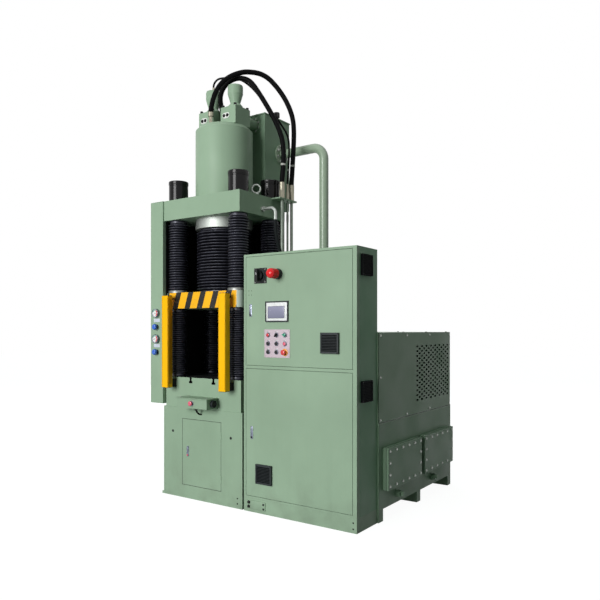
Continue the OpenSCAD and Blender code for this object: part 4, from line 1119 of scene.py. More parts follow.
@dataclass
class GaugeBoard:
    """The two gauges, blank plates and blue knobs on the front of the left guard."""

    mid: float = -0.500
    face: float = -0.312
    dials: Sequence[float] = (1.557, 1.335)
    plates: Sequence[float] = (1.495, 1.276)
    knobs: Sequence[float] = (1.438, 1.221)
    dial_r: float = 0.038
    dial_t: float = 0.026
    hand_turn: float = 205.0
    grooves: int = 6
    groove_half: float = 9.0
    groove_share: float = 0.89

    def seats(self, heights: Sequence[float], out: float = 0.0) -> list[Matrix]:
        """Gives the seats on the board at these heights."""
        return [Facing.FRONT.seat((self.mid, self.face - out, z)) for z in heights]

    def build(self) -> None:
        """Builds the gauges, plates and knobs."""
        self.build_gauges()
        plate = Bench.plate("gauge_plates", (0.075, 0.030, 0.0015), 0.002)
        Bench.fit(plate, self.seats(self.plates), Paints.LABEL, "zinc_plate")
        self.build_knobs()

    def build_gauges(self) -> None:
        """Builds the cases, dials, coloured arcs, ticks and hands."""
        r, t = self.dial_r, self.dial_t
        top = t - 0.0038
        seats, faces = self.seats(self.dials), self.seats(self.dials, top)
        case = [(r - 0.003, 0), (r - 0.002, t * 0.55), (r, t * 0.62), (r, t - 0.003), (r - 0.002, t),
                (r - 0.006, t), (r - 0.0075, t - 0.004)]
        cases = Bench.fit(Bench.turned("gauge_cases", case, 48), seats, Paints.LOCKS, "black_steel")
        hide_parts("pressure_gauges")
        dial = [(r - 0.0076, top - 0.002), (r - 0.0076, top), (r - 0.0085, top + 0.0003)]
        Bench.fit(Bench.turned("gauge_dials", dial, 48), seats, Paints.WHITE, "black_steel")
        red = Bench.arc("gauge_red_arcs", r - 0.020, r - 0.009, (-70, 66), 0.0006)
        Bench.fit(red, faces, Paints.RED, "red_plastic")
        green = Bench.arc("gauge_green_arcs", r - 0.015, r - 0.009, (72, 165), 0.0006)
        Bench.fit(green, faces, Paints.LEAF, "black_steel")
        tick = Bench.slab("gauge_ticks", (0.005, 0.0009, 0.0005), 0.0001, 1)
        spin = [turned_by(angle) @ Matrix.Translation((r - 0.0205, 0, top)) for angle in range(-50, 231, 20)]
        Bench.fit(tick, [seat @ turn for seat in seats for turn in spin], Paints.DARK, "black_steel")
        hand = Bench.slab("gauge_hands", (0.022, 0.0016, 0.0012), 0.0004, 1)
        hub = Bench.turned("gauge_hub", [(0.0035, 0), (0.0035, 0.002), (0.0028, 0.0026)], 16)
        Bench.seated(hand, turned_by(self.hand_turn) @ Matrix.Translation((0.007, 0, 0.0006)))
        Bench.fit(Bench.merged(hand, hub), faces, Paints.DARK, "black_steel")

    def build_knobs(self) -> None:
        """Builds the knobs: a black foot and a scalloped blue grip."""
        seats = self.seats(self.knobs)
        foot = [(0.021, 0), (0.021, 0.006), (0.018, 0.009), (0.013, 0.010), (0.013, 0.016)]
        Bench.fit(Bench.turned("knob_feet", foot, 24), seats, Paints.DARK, "slate_plastic")
        profile = [(0.012, 0.013), (0.023, 0.015), (0.026, 0.019), (0.0255, 0.034), (0.022, 0.039),
                   (0.012, 0.041), (0.006, 0.0395)]
        grip = Bench.turned("knob_grips", profile, 48)
        bpy.ops.object.mode_set(mode="EDIT")
        Bench.choose(grip, self.in_groove, True)
        Bench.widened(self.groove_share)
        bpy.ops.object.mode_set(mode="OBJECT")
        Bench.fit(grip, seats, Paints.BLUE, "slate_plastic", sharp=50)

    def in_groove(self, vert: bmesh.types.BMVert) -> bool:
        """Tells whether a vertex lies in one of the grip's grooves."""
        pitch = 360 / self.grooves
        turn = math.degrees(math.atan2(vert.co.y, vert.co.x)) % pitch
        return vert.co.xy.length > 0.02 and (turn < self.groove_half or turn > pitch - self.groove_half)


@dataclass
class LightPosts:
    """The windows, caps and ribs of the two yellow light-curtain posts."""

    mid: float = 0.319
    wide: float = 0.071
    front: float = -0.390
    back: float = -0.337
    low: float = 0.930
    top: float = 1.700
    cap_t: float = 0.004

    def build(self) -> None:
        """Builds the windows on the facing sides, the end caps, the plugs and the front ribs."""
        deep, high = self.back - self.front, self.top - self.low
        y, z = (self.front + self.back) / 2, (self.low + self.top) / 2
        inner, mids = self.mid - self.wide / 2, (-self.mid, self.mid)
        sides = [Facing.RIGHT.seat((-inner, y, z)), Facing.LEFT.seat((inner, y, z))]
        window = Bench.plate("post_windows", (0.036, high - 0.06, 0.0015), 0.006, 0.0005)
        Bench.fit(window, sides, Paints.FILM, "slate_plastic")
        trim = Bench.border("post_window_trims", (0.043, high - 0.05, 0.001), 0.004)
        Bench.fit(trim, sides, Paints.YELLOW, "yellow_paint")
        cap = Bench.plate("post_caps", (self.wide - 0.006, deep - 0.006, self.cap_t), 0.006, 0.0015)
        ends = [Facing.UP.seat((x, y, self.top)) for x in mids]
        ends += [Facing.DOWN.seat((x, y, self.low)) for x in mids]
        Bench.fit(cap, ends, Paints.DARK, "slate_plastic")
        screws = shifted(ends, corners(0.025, 0.016), self.cap_t)
        Bolts("post_cap_screws", 0.0065, 0.003, sunk=True).build(screws)
        plug = [(0.010, 0), (0.0125, 0.001), (0.0125, 0.016), (0.0105, 0.018), (0.0105, 0.030),
                (0.008, 0.034)]
        tops = [Facing.BACK.seat((x + 0.012, self.back, self.top - 0.024)) for x in mids]
        Bench.fit(Bench.turned("post_plugs", plug, 12), tops, Paints.DARK, "slate_plastic")
        nut = [(0.0135, 0), (0.0145, 0.0015), (0.0145, 0.006), (0.0135, 0.0075)]
        Bench.fit(Bench.turned("post_plug_nuts", nut, HEX), tops, Paints.LOCKS, "bright_steel")
        rib = Bench.slab("post_ribs", (0.004, high - 0.02, 0.0025), 0.001)
        ribs = [Facing.FRONT.seat((x + dx, self.front, z)) for x in mids for dx in (-0.031, 0.031)]
        Bench.fit(rib, ribs, Paints.YELLOW, "yellow_paint")


@dataclass
class Console:
    """The stop button, palm buttons, lid screws and cable gland of the console under the bed."""

    mid: float = 0.012
    wide: float = 0.330
    front: float = -0.410
    back: float = -0.278
    low: float = 0.777
    top: float = 0.860

    def build(self) -> None:
        """Builds the buttons and trims."""
        z, y = (self.low + self.top) / 2, (self.front + self.back) / 2
        face = Facing.FRONT.seat((self.mid, self.front, z))
        head = [(0.011, 0.004), (0.011, 0.012), (0.0185, 0.0135), (0.0200, 0.0165), (0.0195, 0.022),
                (0.015, 0.0262), (0.008, 0.0276), (0.003, 0.028)]
        stop = Bench.fit(Bench.turned("console_stop", head, 36), face, Paints.ROSE, "red_plastic")
        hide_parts("console_buttons")
        collar = [(0.0215, 0), (0.0215, 0.002), (0.020, 0.0035), (0.014, 0.004), (0.013, 0.0045)]
        Bench.fit(Bench.turned("console_stop_collar", collar, 36), face, Paints.LOCKS, "bright_steel")
        ends = [Facing.RIGHT.seat((self.mid + self.wide / 2, y, z)),
                Facing.LEFT.seat((self.mid - self.wide / 2, y, z))]
        guard = [(0.030, 0), (0.0305, 0.002), (0.0305, 0.020), (0.029, 0.022), (0.0255, 0.022),
                 (0.0245, 0.020), (0.0245, 0.001)]
        Bench.fit(Bench.turned("palm_guards", guard, 36, True), ends, Paints.SLATE, "slate_plastic")
        palm = [(0.022, 0.001), (0.022, 0.010), (0.0225, 0.013), (0.020, 0.0172), (0.013, 0.0195),
                (0.004, 0.020)]
        Bench.fit(Bench.turned("palm_buttons", palm, 36), ends, Paints.DARK, "slate_plastic")
        lid = shifted([Facing.UP.seat((self.mid, y, self.top))], corners(0.145, 0.045))
        Bolts("console_lid_screws", 0.009, 0.0045, sunk=True).build(lid)
        gland = [(0.014, 0), (0.014, 0.010), (0.012, 0.012), (0.012, 0.020), (0.009, 0.024)]
        under = Facing.DOWN.seat((0.0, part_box("console_cable")[0].y + 0.008, self.low))
        Bench.fit(Bench.turned("console_gland", gland, HEX), under, Paints.DARK, "slate_plastic")


@dataclass
class Cabinet:
    """What the control cabinet's doors and side carry: switch, beacon, panel, buttons, grilles and locks."""

    face: float = -0.285
    panel: Spot = (0.781, 1.551)
    panel_t: float = 0.007
    panel_face: float = 0.0012
    plate: Spot = (0.781, 1.310)
    plate_t: float = 0.003
    columns: Sequence[float] = (-0.0823, -0.0036, 0.0738)
    rows: Sequence[float] = (0.064, -0.0015, -0.0654)
    beacon: Spot = (0.790, 1.834)
    switch: Spot = (0.623, 1.829)
    side_grilles: Sequence[float] = (0.978, 1.872)
    slats: int = 11
    slat_pitch: float = 0.011
    slat_lean: float = 28.0
    lens_ribs: int = 8
    rib_pitch: float = 0.0065
    upper_lock: Spot = (0.525, 1.5635)
    lower_lock: Spot = (0.537, 0.616)
    base_lock: Spot = (-0.152, 0.395)
    lock_h: float = 0.100
    base_lock_h: float = 0.090
    lock_t: float = 0.005
    plugs: Spot = (0.520, 1.700)
    tie: Spot = (0.579, 0.0585)
    tie_t: float = 0.008

    def front(self, spot: Spot, out: float = 0.0) -> Matrix:
        """Gives a seat on the front of the doors."""
        return Facing.FRONT.seat((spot[0], self.face - out, spot[1]))

    def fronts(self, spots: Iterable[Spot], out: float = 0.0) -> list[Matrix]:
        """Gives the seats of several spots on the front."""
        return [self.front(spot, out) for spot in spots]

    def build(self) -> None:
        """Builds everything on the cabinet."""
        self.build_panel()
        self.build_buttons()
        self.build_selectors()
        self.build_stop()
        self.build_plate_trim()
        self.build_beacon()
        self.build_switch()
        self.build_grilles()
        self.build_locks()
        self.build_tie()

    def build_panel(self) -> None:
        """Builds the touch panel: a slate rim, a white face and the lavender screen."""
        (x, z), t = self.panel, self.panel_t
        face, screen, port = t + self.panel_face, (x - 0.004, z - 0.005), (x + 0.0855, z - 0.035)
        rim = Bench.border("touch_panel_rim", (0.214, 0.158, 0.003), 0.010)
        self.on_upper(rim, self.panel, t, Paints.SLATE)
        white = Bench.plate("touch_panel_face", (0.193, 0.137, self.panel_face), 0.003)
        self.on_upper(white, self.panel, t, Paints.WHITE)
        film = Bench.plate("touch_panel_screen", (0.153, 0.088, 0.0006), 0.002, 0.0003)
        self.on_upper(film, screen, face, Paints.SCREEN)
        edge = Bench.border("touch_panel_edge", (0.157, 0.092, 0.0010), 0.002)
        self.on_upper(edge, screen, face, Paints.SLATE)
        key = Bench.plate("touch_panel_port", (0.007, 0.030, 0.0012), 0.001)
        self.on_upper(key, port, face, Paints.ZINC)

    def on_upper(self, piece: bpy.types.Object, spot: Spot, out: float, finish: Finish) -> None:
        """Fits a piece of the touch panel to the upper door."""
        Bench.fit(piece, self.front(spot, out), finish, "slate_plastic", Body.UPPER_DOOR)

    def spots(self) -> list[list[Spot]]:
        """Lists the middles of the nine buttons, row by row from the top."""
        return [[(self.plate[0] + x, self.plate[1] + z) for x in self.columns] for z in self.rows]

    def build_buttons(self) -> None:
        """Builds the bezels and caps of the buttons."""
        top, middle, low = self.spots()
        bezel = [(0.0175, 0), (0.0180, 0.0015), (0.0180, 0.004), (0.0165, 0.0062), (0.0140, 0.0062),
                 (0.0132, 0.004), (0.0132, 0.001)]
        seats = self.fronts([*top, *middle, *low[:2]], self.plate_t)
        rings = Bench.turned("button_bezels", bezel, 32, True)
        Bench.fit(rings, seats, Paints.LOCKS, "bright_steel", Body.UPPER_DOOR)
        cap = [(0.0128, 0.001), (0.0128, 0.0085), (0.0120, 0.0102), (0.0095, 0.0110), (0.0040, 0.0112)]
        kinds = [("red", Paints.RED, [top[0]]), ("rose", Paints.ROSE, [middle[2]]),
                 ("black", Paints.DARK, [*middle[:2], *low[:2], top[1]]), ("green", Paints.LEAF, [top[2]])]
        for name, finish, places in kinds:
            button = Bench.turned(f"{name}_button_caps", cap, 28)
            Bench.fit(button, self.fronts(places, self.plate_t), finish, "panel_metal", Body.UPPER_DOOR)

    def build_selectors(self) -> None:
        """Builds the levers of the two selector switches."""
        top = self.spots()[0]
        kinds = (("black", Paints.DARK, top[1], 52), ("green", Paints.LEAF, top[2], -24))
        for name, finish, spot, turn in kinds:
            lever = Bench.slab(f"{name}_selector", (0.030, 0.0085, 0.013), 0.002, 3)
            seat = self.front(spot, self.plate_t) @ turned_by(turn) @ Matrix.Translation((0, 0, 0.010))
            Bench.fit(lever, seat, finish, "panel_metal", Body.UPPER_DOOR)

    def build_stop(self) -> None:
        """Builds the stop button on its yellow ring."""
        seat = self.front(self.spots()[2][2], self.plate_t)
        ring = [(0.028, 0), (0.028, 0.002), (0.026, 0.003), (0.014, 0.0035), (0.013, 0.012)]
        Bench.fit(Bench.turned("stop_ring", ring, 36), seat, Paints.AMBER, "yellow_paint", Body.UPPER_DOOR)
        head = [(0.012, 0.010), (0.012, 0.018), (0.0190, 0.0195), (0.0200, 0.0225), (0.0195, 0.028),
                (0.0150, 0.0312), (0.0080, 0.0325), (0.0020, 0.033)]
        Bench.fit(Bench.turned("stop_head", head, 36), seat, Paints.RED, "red_plastic", Body.UPPER_DOOR)

    def build_plate_trim(self) -> None:
        """Builds the screws of the button plate and the blank strips over its buttons."""
        studs = shifted([self.front(self.plate, self.plate_t)], corners(0.109, 0.0965))
        Bolts("button_plate_screws", 0.005, 0.002, sunk=True).build(studs, Body.UPPER_DOOR)
        band = Bench.plate("button_labels", (0.026, 0.006, 0.0004), 0.0008, 0.0001)
        places = [(x, z + 0.0235) for row in self.spots() for x, z in row][:-1]
        Bench.fit(band, self.fronts(places, self.plate_t), Paints.ZINC, "panel_metal", Body.UPPER_DOOR)

    def build_beacon(self) -> None:
        """Builds the beacon: a black foot and a ribbed red lens with a domed end."""
        seat = self.front(self.beacon)
        foot = [(0.041, 0), (0.041, 0.008), (0.038, 0.012), (0.038, 0.030), (0.036, 0.034), (0.030, 0.036)]
        Bench.fit(Bench.turned("beacon_foot", foot, 48), seat, Paints.DARK, "slate_plastic", Body.UPPER_DOOR)
        lens = [(0.034, 0.034), (0.0375, 0.037)]
        for step in range(self.lens_ribs):
            z = 0.040 + step * self.rib_pitch
            lens += [(0.0372, z), (0.0385, z + 0.0022), (0.0385, z + 0.0042), (0.0372, z + 0.0062)]
        turns = [math.radians(angle) for angle in range(0, 90, 10)]
        lens += [(0.0375 * math.cos(turn), 0.094 + 0.026 * math.sin(turn)) for turn in turns]
        dome = Bench.turned("beacon_lens", [*lens, (0.002, 0.12)], 48)
        Bench.fit(dome, seat, Paints.LENS, "red_plastic", Body.UPPER_DOOR, 60)
        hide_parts("beacon")

    def build_switch(self) -> None:
        """Builds the isolator's collar, screws and pointer."""
        out = self.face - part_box("isolator_plate")[0].y
        reach = self.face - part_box("isolator_handle")[0].y
        seat = self.front(self.switch, out)
        collar = [(0.046, 0), (0.046, 0.003), (0.044, 0.005), (0.040, 0.005), (0.039, 0.003), (0.039, 0)]
        ring = Bench.turned("isolator_collar", collar, 48, True)
        Bench.fit(ring, seat, Paints.SLATE, "slate_plastic", Body.UPPER_DOOR)
        screws = shifted([seat], corners(0.049, 0.049))
        Bolts("isolator_screws", 0.008, 0.003, sunk=True).build(screws, Body.UPPER_DOOR)
        mark = Bench.plate("isolator_pointer", (0.004, 0.018, 0.0006), 0.001, 0.0002)
        tip = self.front((self.switch[0], self.switch[1] + 0.012), reach)
        Bench.fit(mark, tip, Paints.WHITE, "black_steel", Body.ISOLATOR)

    def build_grilles(self) -> None:
        """Builds the fan grilles: a rim, slanted slats and corner screws on each of the four."""
        low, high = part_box("side_filters")
        sides = [Facing.RIGHT.seat((high.x, (low.y + high.y) / 2, z)) for z in self.side_grilles]
        # The side grilles take the darker filter plastic: painted shade of the cabinet's side.
        places = [("upper", Body.UPPER_DOOR, [self.middle("upper_filter")], Paints.SLATE),
                  ("lower", Body.LOWER_DOOR, [self.middle("lower_filter")], Paints.SLATE),
                  ("side", Body.FRAME, sides, Paints.FILTER)]
        first = -self.slat_pitch * (self.slats - 1) / 2
        heights = [(0, first + i * self.slat_pitch) for i in range(self.slats)]
        lean = Matrix.Rotation(math.radians(self.slat_lean), 4, "X")
        for name, body, seats, finish in places:
            rim = Bench.border(f"{name}_grille_rim", (0.150, 0.150, 0.005), 0.011)
            Bench.fit(rim, seats, finish, "slate_plastic", body)
            slat = Bench.slab(f"{name}_grille_slats", (0.124, 0.0075, 0.0035), 0.001, 1)
            rows = [seat @ lean for seat in shifted(seats, heights, 0.0008)]
            Bench.fit(slat, rows, Paints.FILTER, "slate_plastic", body)
            screws = shifted(seats, corners(0.069, 0.069), 0.005)
            bolts = Bolts(f"{name}_grille_screws", 0.006, 0.0018, Paints.DARK, True)
            bolts.build(screws, body, "slate_plastic")

    @staticmethod
    def middle(node: str) -> Matrix:
        """Gives the seat in the middle of a solid's front face."""
        low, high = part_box(node)
        return Facing.FRONT.seat(((low.x + high.x) / 2, low.y, (low.z + high.z) / 2))

    def build_locks(self) -> None:
        """Builds the swing-handle locks of the two doors and the lock of the base door."""
        self.lock("upper_door_lock", self.upper_lock, self.lock_h, Body.UPPER_DOOR)
        self.lock("lower_door_lock", self.lower_lock, self.lock_h, Body.LOWER_DOOR)
        self.lock("base_door_lock", self.base_lock, self.base_lock_h, Body.BASE_DOOR, Paints.ROSE)
        dots = shifted([self.front(self.plugs)], corners(0.013, 0.016))
        Bolts("upper_door_plugs", 0.006, 0.0012, Paints.SEAL, True).build(dots, Body.UPPER_DOOR)

    def lock(self, name: str, spot: Spot, high: float, body: Body, key_finish: Finish = Paints.DARK) -> None:
        """Builds one lock: a long plate, a tapered lever and the key barrel."""
        (x, z), t = spot, self.lock_t
        plate = Bench.plate(f"{name}_plate", (0.024, high, t), 0.010, 0.0015)
        Bench.fit(plate, self.front(spot), Paints.LOCKS, "bright_steel", body)
        lever = Bench.slab(f"{name}_lever", (0.014, high * 0.62, 0.007), 0.003, 3)
        bpy.ops.object.mode_set(mode="EDIT")
        Bench.choose(lever, lambda face: face.calc_center_median().y < -high * 0.28)
        bpy.ops.transform.resize(value=(0.6, 1, 0.55), center_override=(0, 0, 0))
        bpy.ops.object.mode_set(mode="OBJECT")
        Bench.fit(lever, self.front((x, z + high * 0.12), t), Paints.LOCKS, "bright_steel", body)
        barrel = [(0.0075, 0), (0.0075, 0.003), (0.0068, 0.004), (0.003, 0.004), (0.0025, 0.002)]
        key = Bench.turned(f"{name}_barrel", barrel, 20)
        Bench.fit(key, self.front((x, z - high * 0.36), t), key_finish, "slate_plastic", body)

    def build_tie(self) -> None:
        """Builds the plate that ties the cabinet to the base, with its bolts, and the plinth's screws."""
        plate = Bench.plate("tie_plate", (0.182, 0.067, self.tie_t), 0.004, 0.002)
        Bench.fit(plate, self.front(self.tie), Paints.GREEN, "green_paint")
        big = self.fronts([(0.513, 0.043), (0.513, 0.075)], self.tie_t)
        Bolts("tie_plate_bolts", 0.018, 0.010, Paints.NUTS).build(big, slot="black_steel")
        small = self.fronts([(0.655, 0.040), (0.655, 0.074)], self.tie_t)
        Bolts("tie_plate_screws", 0.012, 0.006, Paints.NUTS).build(small, slot="black_steel")
        low = self.fronts([(0.390, 0.039), (0.390, 0.080), (1.440, 0.030), (1.440, 0.072)])
        Bolts("plinth_screws", 0.010, 0.003, Paints.NUTS, True).build(low, slot="black_steel")


@dataclass
class PowerUnit:
    """Bolts and gaskets of the oil tank and the hood over the pumps."""

    side: float = 1.481
    cover: float = 1.526
    cover_t: float = 0.020
    covers: Sequence[tuple[Spot, Spot]] = (((0.085, 0.228), (0.687, 0.540)), ((0.750, 0.228), (1.376, 0.540)))
    bolt_inset: float = 0.026
    front: float = 0.017
    back: float = 1.431
    hood_back: float = 1.421
    deck: float = 0.728
    top: float = 1.393
    screw_ys: Sequence[float] = (0.045, 0.500, 0.950, 1.400)
    back_xs: Sequence[float] = (0.49, 0.81, 1.13, 1.45)
    lid_xs: Sequence[float] = (0.49, 0.97, 1.45)
    middle_z: float = 1.062
    filler: Spot = (1.250, 0.300)

    def build(self) -> None:
        """Builds the covers' bolts and gaskets, the hood's screws and the filler cap."""
        seats = [Facing.RIGHT.seat((self.cover, y, z))
                 for low, high in self.covers for y, z in rim_spots(low, high, self.bolt_inset, 6, 4)]
        Bolts("cover_bolts", 0.0145, 0.008).build(seats)
        for index, (low, high) in enumerate(self.covers):
            size = (high[0] - low[0] + 0.004, high[1] - low[1] + 0.004, 0.003)
            gasket = Bench.border(f"cover_gasket_{index}", size, 0.02)
            y, z = (low[0] + high[0]) / 2, (low[1] + high[1]) / 2
            seat = Facing.RIGHT.seat((self.cover - self.cover_t, y, z))
            Bench.fit(gasket, seat, Paints.SEAL, "slate_plastic")
        self.build_hood()
        cap = [(0.055, 0), (0.055, 0.006), (0.040, 0.008), (0.040, 0.045), (0.052, 0.050), (0.054, 0.056),
               (0.054, 0.086), (0.050, 0.092), (0.010, 0.095)]
        seat = Facing.UP.seat((*self.filler, self.top))
        Bench.fit(Bench.turned("filler_cap", cap, 40), seat, Paints.STEEL, "bright_steel")

    def build_hood(self) -> None:
        """Builds the screws of the hood and the seam strip that it stands on."""
        ys, zs = self.screw_ys, (self.deck + 0.020, self.top - 0.022)
        walls = [Facing.RIGHT.seat((self.side, y, z)) for y in ys for z in zs]
        walls += [Facing.RIGHT.seat((self.side, y, self.middle_z)) for y in (ys[0], ys[-1])]
        walls += [Facing.BACK.seat((x, self.hood_back, z)) for x in self.back_xs for z in zs]
        Bolts("hood_screws", 0.013, 0.006).build(walls)
        lid = [Facing.UP.seat((x, y, self.top)) for x in self.lid_xs for y in ys]
        Bolts("hood_lid_screws", 0.013, 0.006).build(lid)
        seam = Bench.slab("hood_seam", (self.back - self.front - 0.004, 0.005, 0.002), 0.0008, 1)
        seat = Facing.RIGHT.seat((self.side - 0.0008, (self.front + self.back) / 2, self.deck))
        Bench.fit(seam, seat, Paints.SEAL, "green_paint")


@dataclass
class PressFrame:
    """Bolts, holes, ports and hinges of the base, columns, cylinder and tank, and the tape on a pipe."""

    base_front: float = -0.285
    base_holes: Sequence[Spot] = ((-0.330, 0.551), (0.321, 0.550))
    hinge_x: float = 0.2165
    hinges: Sequence[float] = (0.205, 0.560)
    nut_top: float = 2.688
    nut_r: float = 0.082
    blocks: Sequence[float] = (-0.125, 0.125)
    block_front: float = -0.095
    block_low: float = 3.142
    block_top: float = 3.291
    slide_top: float = 1.728
    ring_r: float = 0.0865
    ring_h: float = 0.022
    breather: Spot = (0.190, 0.500)
    return_flange: Spot = (0.500, 3.000)
    return_foot: Point = (0.700, 0.500, 1.409)
    flange_t: float = 0.016
    flange_r: float = 0.072
    prefill_r: float = 0.056
    tape: Point = (0.483, 0.262, 2.330)

    def build(self) -> None:
        """Builds the small pieces of the press itself."""
        self.build_base()
        self.build_nuts()
        self.build_rings()
        self.build_blocks()
        self.build_tank()
        self.build_flanges()
        self.build_tape()

    def build_base(self) -> None:
        """Builds the round holes in the base front as dark rimmed discs of painted shade, and the base door's
        seam and hinges.
        """
        # Each hole is a dark disc with a raised rim: painted shade inside the hole.
        rim = [(0.0115, 0), (0.0115, 0.0008), (0.0105, 0.0014), (0.0095, 0.0014), (0.0090, 0.0004)]
        spots = [Facing.FRONT.seat((x, self.base_front, z)) for x, z in self.base_holes]
        Bench.fit(Bench.turned("base_holes", rim, 24), spots, Paints.DARK, "black_steel")
        low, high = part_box("base_door")
        gap = Bench.border("base_door_seam", (high.x - low.x + 0.007, high.z - low.z + 0.007, 0.0006), 0.0028)
        seat = Facing.FRONT.seat(((low.x + high.x) / 2, self.base_front, (low.z + high.z) / 2))
        Bench.fit(gap, seat, Paints.SEAL, "black_steel")
        barrel = [(0.005, -0.030), (0.006, -0.029), (0.006, -0.001), (0.0055, 0.0), (0.006, 0.001),
                  (0.006, 0.029), (0.005, 0.030)]
        pins = [Matrix.Translation((self.hinge_x, self.base_front + 0.001, z)) for z in self.hinges]
        Bench.fit(Bench.turned("base_door_hinges", barrel, 16), pins, Paints.GREEN, "green_paint")

    def build_nuts(self) -> None:
        """Builds the lock screws and the lips of the column nuts."""
        tops = [Matrix.Translation((x, y, self.nut_top)) for x, y in COLUMNS]
        screws = shifted(tops, round_spots(0.064, 2, 0.6))
        Bolts("nut_lock_screws", 0.012, 0.005, Paints.NUTS, True).build(screws, slot="black_steel")
        r = self.nut_r
        lip = [(r - 0.002, -0.030), (r + 0.0015, -0.029), (r + 0.0025, -0.027), (r + 0.0025, -0.004),
               (r - 0.001, -0.0004), (r - 0.003, -0.0004)]
        Bench.fit(Bench.turned("nut_lips", lip, 56, True), tops, Paints.NUTS, "black_steel")

    def build_rings(self) -> None:
        """Builds the bright rings that clamp the upper bellows to the slide."""
        r, h = self.ring_r, self.ring_h
        profile = [(r - 0.007, 0), (r, 0), (r, h - 0.003), (r - 0.0015, h - 0.0008), (r - 0.003, h),
                   (r - 0.007, h)]
        seats = [Matrix.Translation((x, y, self.slide_top)) for x, y in COLUMNS]
        rings = Bench.turned("bellows_rings", profile, 48, True)
        Bench.fit(rings, seats, Paints.RING, "bright_steel", Body.SLIDE)

    def build_blocks(self) -> None:
        """Builds the valve blocks' cap screws and the white-rimmed ports on their fronts."""
        tops = [Facing.UP.seat((x, 0, self.block_top)) for x in self.blocks]
        screws = shifted(tops, corners(0.066, 0.079))
        Bolts("block_screws", 0.022, 0.020, Paints.NUTS, True).build(screws, slot="black_steel")
        z = (self.block_low + self.block_top) / 2
        seats = [Facing.FRONT.seat((x - 0.022, self.block_front, z)) for x in self.blocks]
        pad = Bench.plate("block_ports", (0.074, 0.046, 0.004), 0.020, 0.001)
        Bench.fit(pad, seats, Paints.ENAMEL, "bright_steel")
        plug = [(0.0145, 0.004), (0.0145, 0.007), (0.012, 0.008), (0.008, 0.008), (0.007, 0.005)]
        places = shifted(seats, [(-0.018, 0), (0.018, 0)])
        Bench.fit(Bench.turned("block_port_plugs", plug, 20), places, Paints.NUTS, "black_steel")

    def build_tank(self) -> None:
        """Builds the lid screws and the breather of the prefill tank."""
        low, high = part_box("prefill_lid")
        spots = rim_spots(low.xy, high.xy, 0.016, 6, 5)
        Bolts("tank_lid_screws", 0.013, 0.007).build([Facing.UP.seat((x, y, high.z)) for x, y in spots])
        cap = [(0.023, 0), (0.023, 0.014), (0.019, 0.016), (0.019, 0.028), (0.028, 0.031), (0.028, 0.068),
               (0.025, 0.074), (0.007, 0.075)]
        seat = Facing.UP.seat((*self.breather, high.z))
        Bench.fit(Bench.turned("tank_breather", cap, 32), seat, Paints.NUTS, "black_steel")

    def build_flanges(self) -> None:
        """Builds the bolts in the flanges of the return pipe and of the prefill pipes."""
        side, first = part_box("prefill_tank")[1].x, math.pi / 8
        ends = [Facing.RIGHT.seat((side + self.flange_t, *self.return_flange)),
                Facing.UP.seat(self.return_foot)]
        Bolts("return_flange_bolts", 0.017, 0.010).build(shifted(ends, round_spots(self.flange_r, 8, first)))
        low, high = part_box("prefill_pipes")
        z, front = (low.z + high.z) / 2, high.y - self.flange_t
        rings = [Facing.FRONT.seat((x, front, z)) for x in self.blocks]
        spots = round_spots(self.prefill_r, 8, first)
        Bolts("prefill_flange_bolts", 0.011, 0.008).build(shifted(rings, spots))

    def build_tape(self) -> None:
        """Wraps the tape round the middle one of the steel pipes."""
        profile = [(0.0085, 0), (0.0105, 0.001), (0.0105, 0.064), (0.0085, 0.065)]
        tape = Bench.turned("pipe_tape", profile, 24, True)
        Bench.fit(tape, Matrix.Translation(self.tape), Paints.TAPE, "bright_steel")


@dataclass
class Skins:
    """The finishes of the solids that are shown as they are."""

    by_finish: dict[Finish, str] = field(default_factory=lambda: {
        Paints.GREEN: (
            "base_floor base_walls base_front_wall crown main_cylinder valve_blocks valve_caps "
            "prefill_pipes crown_brackets side_guard control_console cabinet_plinth "
            "cabinet_frame tank_deck motor_cover upper_door lower_door base_door"),
        # These parts take the darker green: painted shade.
        Paints.TANK: "prefill_tank prefill_lid oil_tank cleaning_covers unit_feet drain_plugs",
        # The cabinet's shell takes the darker green: painted shade.
        Paints.SHELL: "cabinet_shell",
        Paints.VENT: "hood_side",
        Paints.GLOSSY: "return_pipe",
        Paints.BED: "bed",
        Paints.HAZARD: "slide",
        Paints.NUTS: "column_nuts",
        # The rear guard's near-black is black sheet and painted shade of the die space; the brackets are
        # black.
        Paints.BLACK: "rear_guard curtain_brackets",
        Paints.DARK: "pressure_gauges isolator_plate isolator_handle",
        Paints.STEEL: "cylinder_nut lifting_eyes drain_elbow",
        Paints.FITTING: "hose_fittings",
        Paints.PIPE: "pressure_pipes",
        Paints.CHROME: "columns ram",
        Paints.HOSE: "console_cable",
        Paints.YELLOW: "light_curtains",
        Paints.SLATE: "upper_filter lower_filter hmi_panel",
        # The side filters take the darker plastic: painted shade.
        Paints.FILTER: "side_filters",
        Paints.RED: "console_buttons",
        Paints.LENS: "beacon",
        Paints.PANEL: "button_plate",
        Paints.ZINC: "mounting_plate",
    })

    def build(self) -> None:
        """Gives every solid its finish and logs those that a hose or bellows stands in for."""
        left = set(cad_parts)
        for finish, names in self.by_finish.items():
            for name in names.split():
                finish.on(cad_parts[name])
                left.discard(name)
        LOG.info("solids with a piece in their place: %s", ", ".join(sorted(left)))


